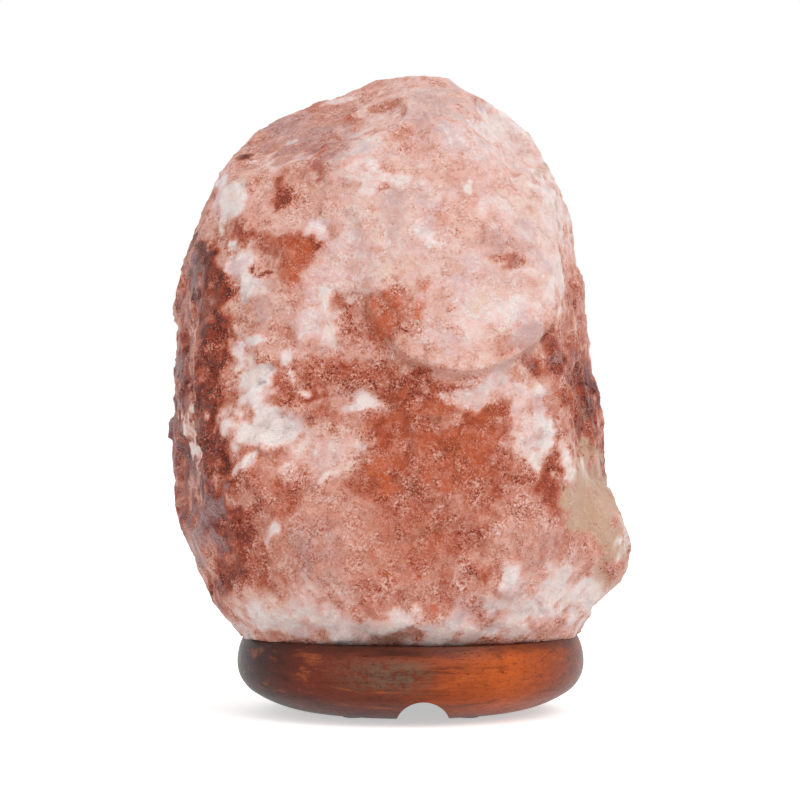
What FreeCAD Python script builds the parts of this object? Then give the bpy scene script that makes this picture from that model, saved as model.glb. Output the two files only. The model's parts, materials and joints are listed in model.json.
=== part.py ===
"""Salt crystal lamp: a hewn block of rock salt, bored from below, screwed to a turned wooden base.

A small screw-in lamp holder with a bulb is held in the bore by two spring clips, and pulls out downwards.
Millimetres. Z is up, z = 0 is the table, -Y is the front with the cord notch, and the origin lies on the
table under the middle of the whole lamp. The turned pieces share one upright axis, the stand axis.
"""
import FreeCAD, Part
import math
import os
import Sketcher
from FreeCAD import Matrix, Placement, Rotation, Vector

# ---------------------------------------------------------------- driving dimensions
SIZES = (
    # the lamp as a whole
    ("stand_x", 4.35, "stand axis, to the right of the middle of the lamp"),
    # turned wooden base
    ("foot_proud", 1.0, "how far the pads lift the wood off the table"),
    ("base_height", 28.0, "thickness of the wood"),
    ("base_radius", 65.0, "widest circle of the wood"),
    ("base_shoulder", 2.6, "widest circle to the rim of the flat top"),
    ("base_undercut", 30.0, "widest circle to the rim of the flat underside"),
    ("base_waist_height", 18.0, "widest circle, above the underside"),
    ("base_turn_radius", 13.0, "tight part of the bowl's curve, under the widest circle"),
    ("holder_hole_radius", 21.0, "hole through the wood and bore in the salt"),
    ("notch_radius", 9.5, "half-round notch for the cord"),
    ("notch_height", 8.5, "top of the notch, above the underside"),
    ("notch_offset", 4.3, "notch, to the right of the stand axis"),
    # pads and fixings under the base
    ("foot_radius", 4.5, "pad"),
    ("foot_thickness", 3.0, "pad"),
    ("foot_wall", 3.5, "wood between the hole and a pad"),
    ("screw_wall", 2.8, "wood between the hole and a screw's seat"),
    ("screw_shank_radius", 2.0, "wood screw"),
    ("screw_head_radius", 3.8, "wood screw"),
    ("screw_head_height", 2.6, "wood screw"),
    ("screw_bite", 19.0, "wood screw inside the salt"),
    ("washer_radius", 4.7, "washer"),
    ("washer_thickness", 1.0, "washer"),
    ("counterbore_depth", 8.0, "screw seat, above the underside"),
    ("pilot_spare", 2.0, "pilot hole past the screw's point"),
    ("slip", 0.1, "clearance round pieces that drop into a hole"),
    # rock salt block, reaches from the stand axis
    ("rock_height", 208.0, "sawn foot to top"),
    ("rock_left", 90.8, "to the left"),
    ("rock_right", 75.0, "to the right, without the spur"),
    ("rock_front", 72.0, "to the front"),
    ("rock_back", 71.0, "to the back"),
    ("bore_depth", 103.0, "bore, from the sawn foot"),
    # spring clip that carries the lamp holder
    ("bridge_sunk", 3.0, "underside of the clip's bridge, under the joint of wood and salt"),
    ("bridge_length", 30.8, "bridge between the bends"),
    ("bridge_width", 14.0, "bridge strip"),
    ("bridge_thickness", 0.8, "bridge strip"),
    ("arm_width", 10.0, "arm strip"),
    ("arm_thickness", 0.6, "arm strip"),
    ("bend_radius", 0.9, "rolled bend at the root of an arm"),
    ("bend_gap", 0.3, "bend to the end of the bridge"),
    ("arm_gap", 0.3, "arm's pressing point to the wall of the bore"),
    ("arm_press_height", 24.0, "pressing point, above the bridge"),
    ("arm_tip_turn", 1.9, "how far the tip turns in"),
    ("arm_tip_height", 32.0, "arm's tip, above the bridge"),
    # cord entry
    ("cord_bore_radius", 3.5, "passage for the cord"),
    ("nipple_radius", 5.0, "threaded entry tube"),
    ("nipple_proud", 2.2, "threaded entry tube above the cap's floor"),
    ("nut_flats", 14.0, "nut, across the flats"),
    ("nut_thickness", 3.0, "nut"),
    ("grip_radius", 7.0, "cord grip"),
    ("grip_length", 11.9, "cord grip"),
    ("grip_hold", 3.4, "threaded entry tube inside the cord grip"),
    ("grip_mouth", 1.0, "rounding of the cord grip's mouth"),
    ("grub_radius", 1.4, "set screws"),
    # lamp holder
    ("holder_radius", 12.5, "outside of the holder"),
    ("cap_foot_radius", 8.5, "flat foot of the holder cap"),
    ("cap_floor", 3.0, "floor of the holder cap"),
    ("cap_height", 17.2, "holder cap"),
    ("cap_ledge_height", 9.2, "ledge under the contact block, above the cap's foot"),
    ("cap_wall", 1.5, "wall of the cap beside the contact block"),
    ("ledge_width", 1.4, "ledge under the contact block"),
    ("carrier_height", 7.0, "contact block"),
    ("skirt_length", 26.0, "holder skirt above the cap"),
    ("skirt_bore_radius", 8.6, "inside of the skirt"),
    ("skirt_rounding", 1.2, "rounded mouth of the skirt"),
    ("shell_radius", 7.6, "outside of the threaded shell"),
    ("sheet_thickness", 0.4, "brass sheet"),
    ("shell_length", 19.0, "threaded shell"),
    ("shell_floor_radius", 3.8, "hole in the floor of the shell"),
    ("shell_ridge_radius", 0.5, "round ridge of the shell's thread"),
    ("thread_pitch", 2.822, "screw cap thread"),
    ("shell_turns", 5.0, "turns in the shell"),
    ("ridge_start", 3.0, "first ridge, above the shell's floor"),
    ("block_inner", 2.95, "terminal block's inner face, from the stand axis"),
    ("block_length", 5.25, "terminal block"),
    ("block_width", 5.0, "terminal block"),
    ("block_height", 4.9, "terminal block"),
    ("wire_hole_radius", 1.3, "hole for the cord's core"),
    ("terminal_screw_radius", 1.2, "terminal screw"),
    ("terminal_head_radius", 1.9, "terminal screw head"),
    ("terminal_head_height", 1.2, "terminal screw head"),
    ("tongue_width", 3.0, "contact strips"),
    ("tongue_rise", 2.6, "centre contact above the contact block"),
    # bulb
    ("contact_gap", 0.3, "bulb's contact above the centre contact, at rest"),
    ("solder_radius", 2.2, "bulb's contact"),
    ("solder_height", 1.2, "bulb's contact"),
    ("insulator_height", 2.3, "glass ring under the screw cap"),
    ("bulb_cap_radius", 6.2, "root of the screw cap"),
    ("bulb_cap_length", 17.4, "screw cap"),
    ("collar_radius", 7.3, "flared collar of the screw cap"),
    ("collar_height", 3.0, "flared collar of the screw cap"),
    ("bulb_ridge_radius", 0.6, "round ridge of the bulb's thread"),
    ("bulb_turns", 4.0, "turns on the bulb"),
    ("glass_radius", 13.0, "round end of the bulb"),
    ("glass_wall", 0.6, "bulb's wall"),
    ("glass_centre_height", 47.0, "middle of the round end, above the bulb's contact"),
    ("neck_radius", 5.6, "bulb's neck"),
    ("neck_sunk", 7.6, "neck inside the screw cap"),
    ("stem_radius", 1.9, "glass stem"),
    ("stem_length", 19.0, "glass stem"),
    ("lead_radius", 0.25, "lead wires"),
    ("lead_spacing", 1.0, "lead wires in the stem, from the axis"),
    ("lead_spread", 6.5, "lead wires at the filament, from the axis"),
    ("filament_drop", 2.0, "filament, under the middle of the round end"),
    ("filament_coil_radius", 0.55, "filament"),
    ("filament_wire_radius", 0.12, "filament"),
    ("filament_pitch", 0.65, "filament"),
)

# The rock's outline: share of its height, then the shares of its reach to the left, right, front and back.
ROCK_LEVELS = (
    (0.000, 0.660, 0.815, 0.700, 0.740),
    (0.022, 0.755, 0.870, 0.840, 0.860),
    (0.077, 0.820, 0.940, 0.925, 0.940),
    (0.150, 0.895, 0.980, 0.975, 0.980),
    (0.225, 0.965, 1.000, 1.000, 1.000),
    (0.330, 1.000, 0.990, 0.995, 1.000),
    (0.450, 0.998, 0.940, 0.975, 0.985),
    (0.570, 0.985, 0.875, 0.955, 0.950),
    (0.680, 0.928, 0.825, 0.910, 0.885),
    (0.780, 0.845, 0.772, 0.830, 0.785),
    (0.860, 0.740, 0.680, 0.720, 0.650),
    (0.925, 0.570, 0.530, 0.560, 0.480),
    (0.970, 0.325, 0.350, 0.340, 0.290),
    (1.000, 0.080, 0.140, 0.130, 0.110),
)
ROCK_SQUARENESS = 2.4
ROCK_POINTS = 60
# The rock's heart, a point on the stand axis, is where its broken faces and swellings are measured from.
HEART_SHARE = 0.45
# Broken faces: azimuth and rise of the outward normal in degrees, and the face's distance from the heart
# as a share of an egg with the rock's reaches.
BROKEN_FACES = (
    ("left_face", 196.0, 0.0, 0.958),
    ("right_face", 345.0, 6.0, 0.875),
    ("front_face", 262.0, 3.0, 0.926),
    ("top_left_face", 231.0, 56.0, 0.953),
    ("top_right_face", 333.0, 40.0, 0.970),
    ("back_face", 96.0, 8.0, 0.940),
    ("back_right_face", 48.0, 4.0, 0.960),
    ("back_left_face", 140.0, 12.0, 0.930),
    ("top_back_face", 78.0, 46.0, 0.945),
)
# Swellings: middle and half sizes along X, Y and Z, as shares of the reach to the right, the reach to the
# front and the height.
SWELLINGS = (
    ("front_bulge", (0.133, -0.493, 0.207), (0.587, 0.437, 0.190)),
    ("right_spur", (0.667, -0.247, -0.277), (0.415, 0.411, 0.140)),
)
# Chips broken off the front: azimuth in degrees and height of the middle, then width and depth, all but the
# first as shares of the rock's height.
FRONT_CHIPS = (
    (203.0, 0.27, 0.082, 0.0106),
    (204.0, 0.30, 0.077, 0.0115),
    (206.0, 0.61, 0.072, 0.0106),
    (219.0, 0.15, 0.062, 0.0096),
    (226.0, 0.48, 0.072, 0.0096),
    (234.0, 0.61, 0.077, 0.0096),
    (237.0, 0.15, 0.091, 0.0115),
    (237.0, 0.78, 0.082, 0.0106),
    (244.0, 0.33, 0.077, 0.0115),
    (252.0, 0.69, 0.072, 0.0077),
    (255.0, 0.91, 0.072, 0.0096),
    (261.0, 0.35, 0.096, 0.0106),
    (261.0, 0.54, 0.072, 0.0077),
    (267.0, 0.85, 0.072, 0.0087),
    (271.0, 0.15, 0.120, 0.0144),
    (286.0, 0.83, 0.082, 0.0087),
    (288.0, 0.30, 0.091, 0.0106),
    (297.0, 0.44, 0.082, 0.0077),
    (302.0, 0.86, 0.072, 0.0096),
    (308.0, 0.08, 0.082, 0.0106),
    (308.0, 0.30, 0.072, 0.0096),
)
# Chips spread over the sides and back: their number, and the first and last azimuth, height, width and depth.
SIDE_CHIP_COUNT = 35
SIDE_CHIP_AZIMUTHS = (-30.0, 205.0)
SIDE_CHIP_HEIGHTS = (0.08, 0.92)
SIDE_CHIP_WIDTHS = (0.067, 0.111)
SIDE_CHIP_DEPTHS = (0.0067, 0.0144)
# A chip is flat over this share of its width and dies out beyond it. Its slope is measured over CHIP_PROBE,
# and it cuts a steep face as if that leaned out by CHIP_FACING at least.
CHIP_CORE = 0.8
CHIP_PROBE = 4.0
CHIP_FACING = 0.5
# The ledge on the front: middle and half sizes along X and Z and how far it stands out, as shares of the height.
LEDGE_ON_FRONT = ((0.086, 0.631), (0.166, 0.164), 0.0202)
# The ledge's rim falls away between these shares of its half sizes.
LEDGE_RIM = (0.92, 1.10)
# Heights of the level outlines that the rock is lofted through.
RING_SHARES = (
    0.000, 0.022, 0.050, 0.080, 0.115, 0.150, 0.188, 0.225, 0.262, 0.300, 0.338, 0.376, 0.414, 0.452, 0.490,
    0.528, 0.566, 0.604, 0.642, 0.680, 0.718, 0.756, 0.794, 0.830, 0.863, 0.895, 0.925, 0.952, 0.977, 1.000,
)
CIRCLE = 360.0
HALF_TURN = 180.0
QUARTER_TURN = 90.0


class Size:
    """A length that knows its value and the expression that ties a feature to the sheet."""

    def __init__(self, value, text):
        self.value = float(value)
        self.text = text

    @staticmethod
    def of(number):
        """A plain number as a Size, and a Size as it is."""
        return number if isinstance(number, Size) else Size(number, repr(float(number)))

    def __add__(self, other):
        other = Size.of(other)
        return Size(self.value + other.value, f"({self.text} + {other.text})")

    def __sub__(self, other):
        other = Size.of(other)
        return Size(self.value - other.value, f"({self.text} - {other.text})")

    def __mul__(self, other):
        other = Size.of(other)
        return Size(self.value * other.value, f"({self.text} * {other.text})")

    def __truediv__(self, other):
        other = Size.of(other)
        return Size(self.value / other.value, f"({self.text} / {other.text})")

    def __neg__(self):
        return Size(-self.value, f"(-{self.text})")

    def root(self):
        """The square root, for a side of a right-angled triangle."""
        return Size(math.sqrt(self.value), f"sqrt({self.text})")

    __radd__ = __add__
    __rmul__ = __mul__


class Arc:
    """Makes an outline's edge an arc of this radius that turns left, or right."""

    def __init__(self, radius, left=True):
        self.radius = radius
        self.left = left


doc = FreeCAD.newDocument("salt_crystal_lamp")
sheet = doc.addObject("Spreadsheet::Sheet", "sizes")
for row, (alias, number, meaning) in enumerate(SIZES, start=1):
    sheet.set(f"A{row}", alias)
    sheet.set(f"B{row}", str(number))
    sheet.setAlias(f"B{row}", alias)
    sheet.set(f"C{row}", meaning)
doc.recompute()


def size(alias):
    """The sheet's value under that alias."""
    return Size(getattr(sheet, alias), f"sizes.{alias}")


# ---------------------------------------------------------------- how features are made
def bind(thing, **properties):
    """Ties properties of a document object to the sheet; a double underscore stands for a dot."""
    for name, amount in properties.items():
        thing.setExpression(name.replace("__", "."), Size.of(amount).text)


def new_body(label, on_axis=True):
    """A body named after its piece, on the stand axis."""
    body = doc.addObject("PartDesign::Body", label)
    body.Label = label
    if on_axis:
        bind(body, Placement__Base__x=size("stand_x"))
    return body


def new_sketch(body, name, role, height=None, turn=0.0):
    """A sketch on one of the body's own planes, lifted along the plane's normal and turned in it."""
    sketch = body.newObject("Sketcher::SketchObject", name)
    plane = [f for f in body.Origin.OriginFeatures if f.Role == role][0]
    sketch.AttachmentSupport = [(plane, "")]
    sketch.MapMode = "FlatFace"
    lift = 0.0 if height is None else Size.of(height).value
    sketch.AttachmentOffset = Placement(Vector(0, 0, lift), Rotation(Vector(0, 0, 1), turn))
    if height is not None:
        bind(sketch, AttachmentOffset__Base__z=height)
    return sketch


def tie_corner(sketch, edge, end, across, up):
    """Ties one end of an edge to its two distances from the sketch's origin."""
    for kind, axis, amount in (("DistanceX", -2, Size.of(across)), ("DistanceY", -1, Size.of(up))):
        if amount.value == 0:
            sketch.addConstraint(Sketcher.Constraint("PointOnObject", edge, end, axis))
        else:
            number = sketch.addConstraint(Sketcher.Constraint(kind, -1, 1, edge, end, amount.value))
            sketch.setExpression(f"Constraints[{number}]", amount.text)


def arc_edge(start, finish, arc):
    """The arc from start to finish, and which of its ends is which."""
    radius = Size.of(arc.radius).value
    chord = finish - start
    side = Vector(-chord.y, chord.x, 0).normalize() * (1 if arc.left else -1)
    centre = (start + finish) * 0.5 + side * math.sqrt(radius**2 - (chord.Length / 2) ** 2)
    first, last = (start, finish) if arc.left else (finish, start)
    begin = math.atan2(first.y - centre.y, first.x - centre.x)
    end = math.atan2(last.y - centre.y, last.x - centre.x)
    circle = Part.Circle(centre, Vector(0, 0, 1), radius)
    return Part.ArcOfCircle(circle, begin, end), (1, 2) if arc.left else (2, 1)


def draw_outline(sketch, corners):
    """Draws a closed outline. A corner is (across, up), or (across, up, Arc) if an arc leaves it."""
    spots = [Vector(Size.of(c[0]).value, Size.of(c[1]).value, 0) for c in corners]
    first_edge = sketch.GeometryCount
    ends = []
    for index, corner in enumerate(corners):
        start, finish = spots[index], spots[(index + 1) % len(spots)]
        if len(corner) == 3:
            edge, order = arc_edge(start, finish, corner[2])
        else:
            edge, order = Part.LineSegment(start, finish), (1, 2)
        sketch.addGeometry(edge, False)
        ends.append(order)
    for index, corner in enumerate(corners):
        edge, following = first_edge + index, first_edge + (index + 1) % len(corners)
        after = ends[(index + 1) % len(corners)]
        sketch.addConstraint(Sketcher.Constraint("Coincident", edge, ends[index][1], following, after[0]))
        tie_corner(sketch, edge, ends[index][0], corner[0], corner[1])
        if len(corner) == 3:
            radius = Size.of(corner[2].radius)
            number = sketch.addConstraint(Sketcher.Constraint("Radius", edge, radius.value))
            sketch.setExpression(f"Constraints[{number}]", radius.text)


def draw_circle(sketch, across, up, radius):
    """Draws a circle with its middle and radius tied to the sheet."""
    middle = Vector(Size.of(across).value, Size.of(up).value, 0)
    circle = Part.Circle(middle, Vector(0, 0, 1), Size.of(radius).value)
    edge = sketch.addGeometry(circle, False)
    tie_corner(sketch, edge, 3, across, up)
    number = sketch.addConstraint(Sketcher.Constraint("Radius", edge, Size.of(radius).value))
    sketch.setExpression(f"Constraints[{number}]", Size.of(radius).text)


def draw_box(sketch, left, right, bottom, top):
    """Draws an upright rectangle."""
    draw_outline(sketch, ((left, bottom), (right, bottom), (right, top), (left, top)))


def turn(body, name, corners, off_axis=None):
    """Revolves an outline of (radius, height) corners about the stand axis, or a line beside it."""
    sketch = new_sketch(body, name + "_outline", "XZ_Plane")
    if off_axis is not None:
        bind(sketch, AttachmentOffset__Base__x=off_axis)
    draw_outline(sketch, corners)
    doc.recompute()
    feature = body.newObject("PartDesign::Revolution", name)
    feature.Profile = sketch
    feature.ReferenceAxis = (sketch, ["V_Axis"])
    feature.Angle = CIRCLE
    doc.recompute()
    return feature


def pad(body, name, sketch, length, both_ways=False):
    """Extrudes a sketch along its normal, or half each way."""
    feature = body.newObject("PartDesign::Pad", name)
    feature.Profile = sketch
    if both_ways:
        feature.SideType = "Symmetric"
    bind(feature, Length=length)
    doc.recompute()
    return feature


def pocket(body, name, sketch, length=None, reversed_way=False, both_ways=False):
    """Cuts a sketch into the body; without a length it goes right through. It has to remove something."""
    before = body.Shape.Volume
    feature = body.newObject("PartDesign::Pocket", name)
    feature.Profile = sketch
    feature.Reversed = reversed_way
    if both_ways:
        feature.SideType = "Symmetric"
    if length is None:
        feature.Type = "ThroughAll"
    else:
        bind(feature, Length=length)
    doc.recompute()
    if body.Shape.Volume > before - 1e-6:
        raise ValueError(f"{body.Label}: {name} cut nothing")
    return feature


def repeat_round(body, name, features, count, angle=CIRCLE):
    """Repeats features about the stand axis."""
    pattern = body.newObject("PartDesign::PolarPattern", name)
    pattern.Originals = features
    pattern.Axis = ([f for f in body.Origin.OriginFeatures if f.Role == "Z_Axis"][0], [""])
    pattern.Angle = angle
    pattern.Occurrences = count
    body.Tip = pattern
    doc.recompute()
    return pattern


def primitive(kind, name, **properties):
    """A Part primitive with its sizes tied to the sheet."""
    thing = doc.addObject(kind, name)
    bind(thing, **properties)
    doc.recompute()
    return thing


def combine(kind, label, base, tool):
    """A Part boolean of two objects, under the label of the finished piece."""
    thing = doc.addObject(kind, label)
    thing.Label = label
    thing.Base = base
    thing.Tool = tool
    doc.recompute()
    return thing


def helical_ridge(name, coil_radius, ridge_radius, start, turns):
    """A round ridge wound on the stand axis, as in a lamp cap's thread."""
    helix = primitive(
        "Part::Helix",
        name + "_helix",
        Pitch=size("thread_pitch"),
        Height=size("thread_pitch") * turns,
        Radius=coil_radius,
        Placement__Base__x=size("stand_x"),
        Placement__Base__z=start,
    )
    circle = doc.addObject("Part::Circle", name + "_section")
    circle.Placement = Placement(Vector(), Rotation(Vector(1, 0, 0), QUARTER_TURN))
    bind(
        circle,
        Radius=ridge_radius,
        Placement__Base__x=size("stand_x") + coil_radius,
        Placement__Base__z=start,
    )
    doc.recompute()
    sweep = doc.addObject("Part::Sweep", name)
    sweep.Sections = [circle]
    sweep.Spine = (helix, ["Edge1"])
    sweep.Solid = True
    sweep.Frenet = True
    doc.recompute()
    return sweep


# ---------------------------------------------------------------- heights shared by several pieces
UNDERSIDE = size("foot_proud")
JOINT = UNDERSIDE + size("base_height")
SEAT = UNDERSIDE + size("counterbore_depth")
SCREW_HEAD_TOP = SEAT - size("washer_thickness")
SCREW_POINT = JOINT + size("screw_bite")
SCREW_CIRCLE = size("holder_hole_radius") + size("screw_wall") + size("washer_radius")
FOOT_CIRCLE = size("holder_hole_radius") + size("foot_wall") + size("foot_radius")
BRIDGE = JOINT - size("bridge_sunk")
CAP_FOOT = BRIDGE + size("bridge_thickness")
LEDGE = CAP_FOOT + size("cap_ledge_height")
CARRIER_TOP = LEDGE + size("carrier_height")
CAP_TOP = CAP_FOOT + size("cap_height")
SKIRT_TOP = CAP_TOP + size("skirt_length")
SHELL_RIDGE = CARRIER_TOP + size("ridge_start")
NIPPLE_TOP = CAP_FOOT + size("cap_floor") + size("nipple_proud")
GRIP_TOP = BRIDGE - size("nut_thickness") - size("slip")
GRIP_FOOT = GRIP_TOP - size("grip_length")
NIPPLE_FOOT = GRIP_TOP - size("grip_hold")
BULB_FOOT = CARRIER_TOP + size("tongue_rise") + size("contact_gap")
INSULATOR = BULB_FOOT + size("solder_height")
BULB_CAP = INSULATOR + size("insulator_height")
BULB_CAP_TOP = BULB_CAP + size("bulb_cap_length")
NECK_FOOT = BULB_CAP_TOP - size("neck_sunk")
GLASS_CENTRE = BULB_FOOT + size("glass_centre_height")
FILAMENT = GLASS_CENTRE - size("filament_drop")


# ---------------------------------------------------------------- the stand
def make_wood_base():
    """A turned disc with a bowl-shaped edge, bored for the lamp holder and notched for the cord."""
    body = new_body("wood_base")
    flat, turned = size("base_radius") - size("base_undercut"), size("base_turn_radius")
    waist = size("base_waist_height")
    widest = UNDERSIDE + waist
    spread = size("base_radius") - flat - turned
    bowl = (spread * spread + waist * waist - turned * turned) / ((waist - turned) * 2)
    share = bowl / (bowl - turned)
    inset = size("base_shoulder")
    rise = size("base_height") - waist
    shoulder = (rise * rise + inset * inset) / (inset * 2)
    outline = (
        (size("holder_hole_radius"), UNDERSIDE),
        (flat, UNDERSIDE, Arc(bowl)),
        (flat + spread * share, UNDERSIDE + bowl + (waist - bowl) * share, Arc(turned)),
        (size("base_radius"), widest, Arc(shoulder)),
        (size("base_radius") - inset, JOINT),
        (size("holder_hole_radius"), JOINT),
    )
    turn(body, "turned_disc", outline)
    notch = new_sketch(body, "notch_arch", "XZ_Plane")
    notch_middle = UNDERSIDE + size("notch_height") - size("notch_radius")
    draw_circle(notch, size("notch_offset"), notch_middle, size("notch_radius"))
    pocket(body, "cord_notch", notch, reversed_way=True)
    recess = new_sketch(body, "pad_recess_circle", "XY_Plane", UNDERSIDE, FOOT_TURN)
    draw_circle(recess, FOOT_CIRCLE, 0, size("foot_radius") + size("slip"))
    depth = size("foot_thickness") - size("foot_proud")
    pad_recess = pocket(body, "pad_recess", recess, depth, reversed_way=True)
    repeat_round(body, "pad_recesses", [pad_recess], FOOT_COUNT)
    seat = new_sketch(body, "screw_seat_circle", "XY_Plane", UNDERSIDE)
    draw_circle(seat, SCREW_CIRCLE, 0, size("washer_radius") + size("slip"))
    screw_seat = pocket(body, "screw_seat", seat, size("counterbore_depth"), reversed_way=True)
    hole = new_sketch(body, "screw_hole_circle", "XY_Plane", UNDERSIDE)
    draw_circle(hole, SCREW_CIRCLE, 0, size("screw_shank_radius") + size("slip"))
    screw_hole = pocket(body, "screw_hole", hole, reversed_way=True)
    repeat_round(body, "screw_seats", [screw_seat, screw_hole], SCREW_COUNT, HALF_TURN)
    return body


FOOT_COUNT = 4
FOOT_TURN = 45.0
SCREW_COUNT = 3


def make_foot_pads():
    """Four felt pads, sunk into recesses under the wood."""
    body = new_body("foot_pads")
    sketch = new_sketch(body, "pad_circle", "XY_Plane", turn=FOOT_TURN)
    draw_circle(sketch, FOOT_CIRCLE, 0, size("foot_radius"))
    one = pad(body, "foot_pad", sketch, size("foot_thickness"))
    repeat_round(body, "all_pads", [one], FOOT_COUNT)
    return body


def make_base_screws():
    """Three pan-head wood screws that hold the salt to the wood."""
    body = new_body("base_screws")
    head, shank = size("screw_head_radius"), size("screw_shank_radius")
    head_foot = SCREW_HEAD_TOP - size("screw_head_height")
    outline = (
        (0, head_foot),
        (head * 0.6, head_foot),
        (head, head_foot + size("screw_head_height") * 0.5),
        (head, SCREW_HEAD_TOP),
        (shank, SCREW_HEAD_TOP),
        (shank, SCREW_POINT - shank * 2),
        (0, SCREW_POINT),
    )
    one = turn(body, "base_screw", outline, off_axis=SCREW_CIRCLE)
    slot = new_sketch(body, "slot_outline", "XY_Plane", head_foot)
    centre, half_slot = SCREW_CIRCLE, shank * 0.25
    draw_box(slot, centre - head, centre + head, -half_slot, half_slot)
    cut = pocket(body, "driver_slot", slot, size("screw_head_height") * 0.4, reversed_way=True)
    repeat_round(body, "all_screws", [one, cut], SCREW_COUNT, HALF_TURN)
    return body


def make_screw_washers():
    """A washer under each wood screw's head."""
    body = new_body("screw_washers")
    sketch = new_sketch(body, "washer_circles", "XY_Plane", SCREW_HEAD_TOP)
    for radius in (size("washer_radius"), size("screw_shank_radius") + size("slip")):
        draw_circle(sketch, SCREW_CIRCLE, 0, radius)
    one = pad(body, "screw_washer", sketch, size("washer_thickness"))
    repeat_round(body, "all_washers", [one], SCREW_COUNT, HALF_TURN)
    return body


# ---------------------------------------------------------------- the rock
def egg_reach(normal):
    """How far an egg with the rock's reaches stretches from the heart towards a unit vector."""
    across = sheet.rock_right if normal.x > 0 else sheet.rock_left
    along = sheet.rock_back if normal.y > 0 else sheet.rock_front
    up = sheet.rock_height * (1 - HEART_SHARE if normal.z > 0 else HEART_SHARE)
    return Vector(across * normal.x, along * normal.y, up * normal.z).Length


def broken_reach(ahead, height):
    """How far the broken faces leave the rock along a level unit vector, at a height above the heart."""
    room = math.inf
    for _, azimuth, rise, share in BROKEN_FACES:
        turned, raised = math.radians(azimuth), math.radians(rise)
        level = math.cos(raised)
        normal = Vector(math.cos(turned) * level, math.sin(turned) * level, math.sin(raised))
        lean = normal.dot(ahead)
        if lean > 0:
            room = min(room, (share * egg_reach(normal) - normal.z * height) / lean)
    return room


def swollen_reach(ahead, height):
    """How far the swellings, which are ellipsoids, stretch along a level unit vector at a height."""
    room = 0.0
    sides = (sheet.rock_right, sheet.rock_front, sheet.rock_height)
    for _, middle_shares, half_shares in SWELLINGS:
        halves = [share * side for share, side in zip(half_shares, sides)]
        middle = [share * side for share, side in zip(middle_shares, sides)]
        ray = Vector(ahead.x / halves[0], ahead.y / halves[1], 0)
        offset = Vector(middle[0] / halves[0], middle[1] / halves[1], (middle[2] - height) / halves[2])
        nearest = ray.dot(offset)
        spare = nearest**2 - ray.dot(ray) * (offset.dot(offset) - 1)
        if spare > 0:
            room = max(room, (nearest + math.sqrt(spare)) / ray.dot(ray))
    return room


def level_reaches(share):
    """The reaches to the left, right, front and back at a share of the height, between the outline's levels."""
    above = next(index for index, level in enumerate(ROCK_LEVELS) if level[0] >= share or level is ROCK_LEVELS[-1])
    upper, lower = ROCK_LEVELS[above], ROCK_LEVELS[max(above - 1, 0)]
    part = (share - lower[0]) / (upper[0] - lower[0]) if upper is not lower else 0.0
    sides = (sheet.rock_left, sheet.rock_right, sheet.rock_front, sheet.rock_back)
    return [side * (low + (high - low) * part) for side, low, high in zip(sides, lower[1:], upper[1:])]


def smooth_spot(angle, share):
    """A point of the smooth block, between a circle and a square, less its broken faces, plus swellings."""
    left, right, front, back = level_reaches(share)
    across, along = math.cos(angle), math.sin(angle)
    power = 2 / ROCK_SQUARENESS
    outline = Vector(
        (right if across > 0 else left) * math.copysign(abs(across) ** power, across),
        (back if along > 0 else front) * math.copysign(abs(along) ** power, along),
        0,
    )
    ahead = outline / outline.Length
    above_heart = (share - HEART_SHARE) * sheet.rock_height
    reach = min(outline.Length, broken_reach(ahead, above_heart))
    reach = max(reach, swollen_reach(ahead, above_heart))
    return ahead * reach + Vector(0, 0, share * sheet.rock_height)


def fade(value, whole, none):
    """Falls smoothly from 1 at the first limit to 0 at the second."""
    part = min(max((value - none) / (whole - none), 0.0), 1.0)
    return part * part * (3 - 2 * part)


def along_range(limits, part):
    """The number that lies that part of the way along a range, where whole turns of the range count as none."""
    first, last = limits
    return first + (last - first) * (part % 1)


def side_chips():
    """Chips for the sides and back, one above another, with the golden ratio's and two roots' uneven steps."""
    golden_step = (math.sqrt(5) - 1) / 2
    return [
        (
            along_range(SIDE_CHIP_AZIMUTHS, number * golden_step),
            along_range(SIDE_CHIP_HEIGHTS, (number + 0.5) / SIDE_CHIP_COUNT),
            along_range(SIDE_CHIP_WIDTHS, number * math.sqrt(2)),
            along_range(SIDE_CHIP_DEPTHS, number * math.sqrt(3)),
        )
        for number in range(SIDE_CHIP_COUNT)
    ]


def chip_cuts():
    """Each chip's middle on the smooth block, the block's outward normal there, and its width and depth."""
    cuts = []
    for azimuth, share, width, depth in [*FRONT_CHIPS, *side_chips()]:
        angle = math.radians(azimuth)
        step = CHIP_PROBE / sheet.rock_height
        middle = smooth_spot(angle, share)
        level = smooth_spot(angle + step, share) - smooth_spot(angle - step, share)
        rise = smooth_spot(angle, share + step) - smooth_spot(angle, share - step)
        normal = level.cross(rise).normalize()
        cuts.append((middle, normal, width * sheet.rock_height, depth * sheet.rock_height))
    return cuts


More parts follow.
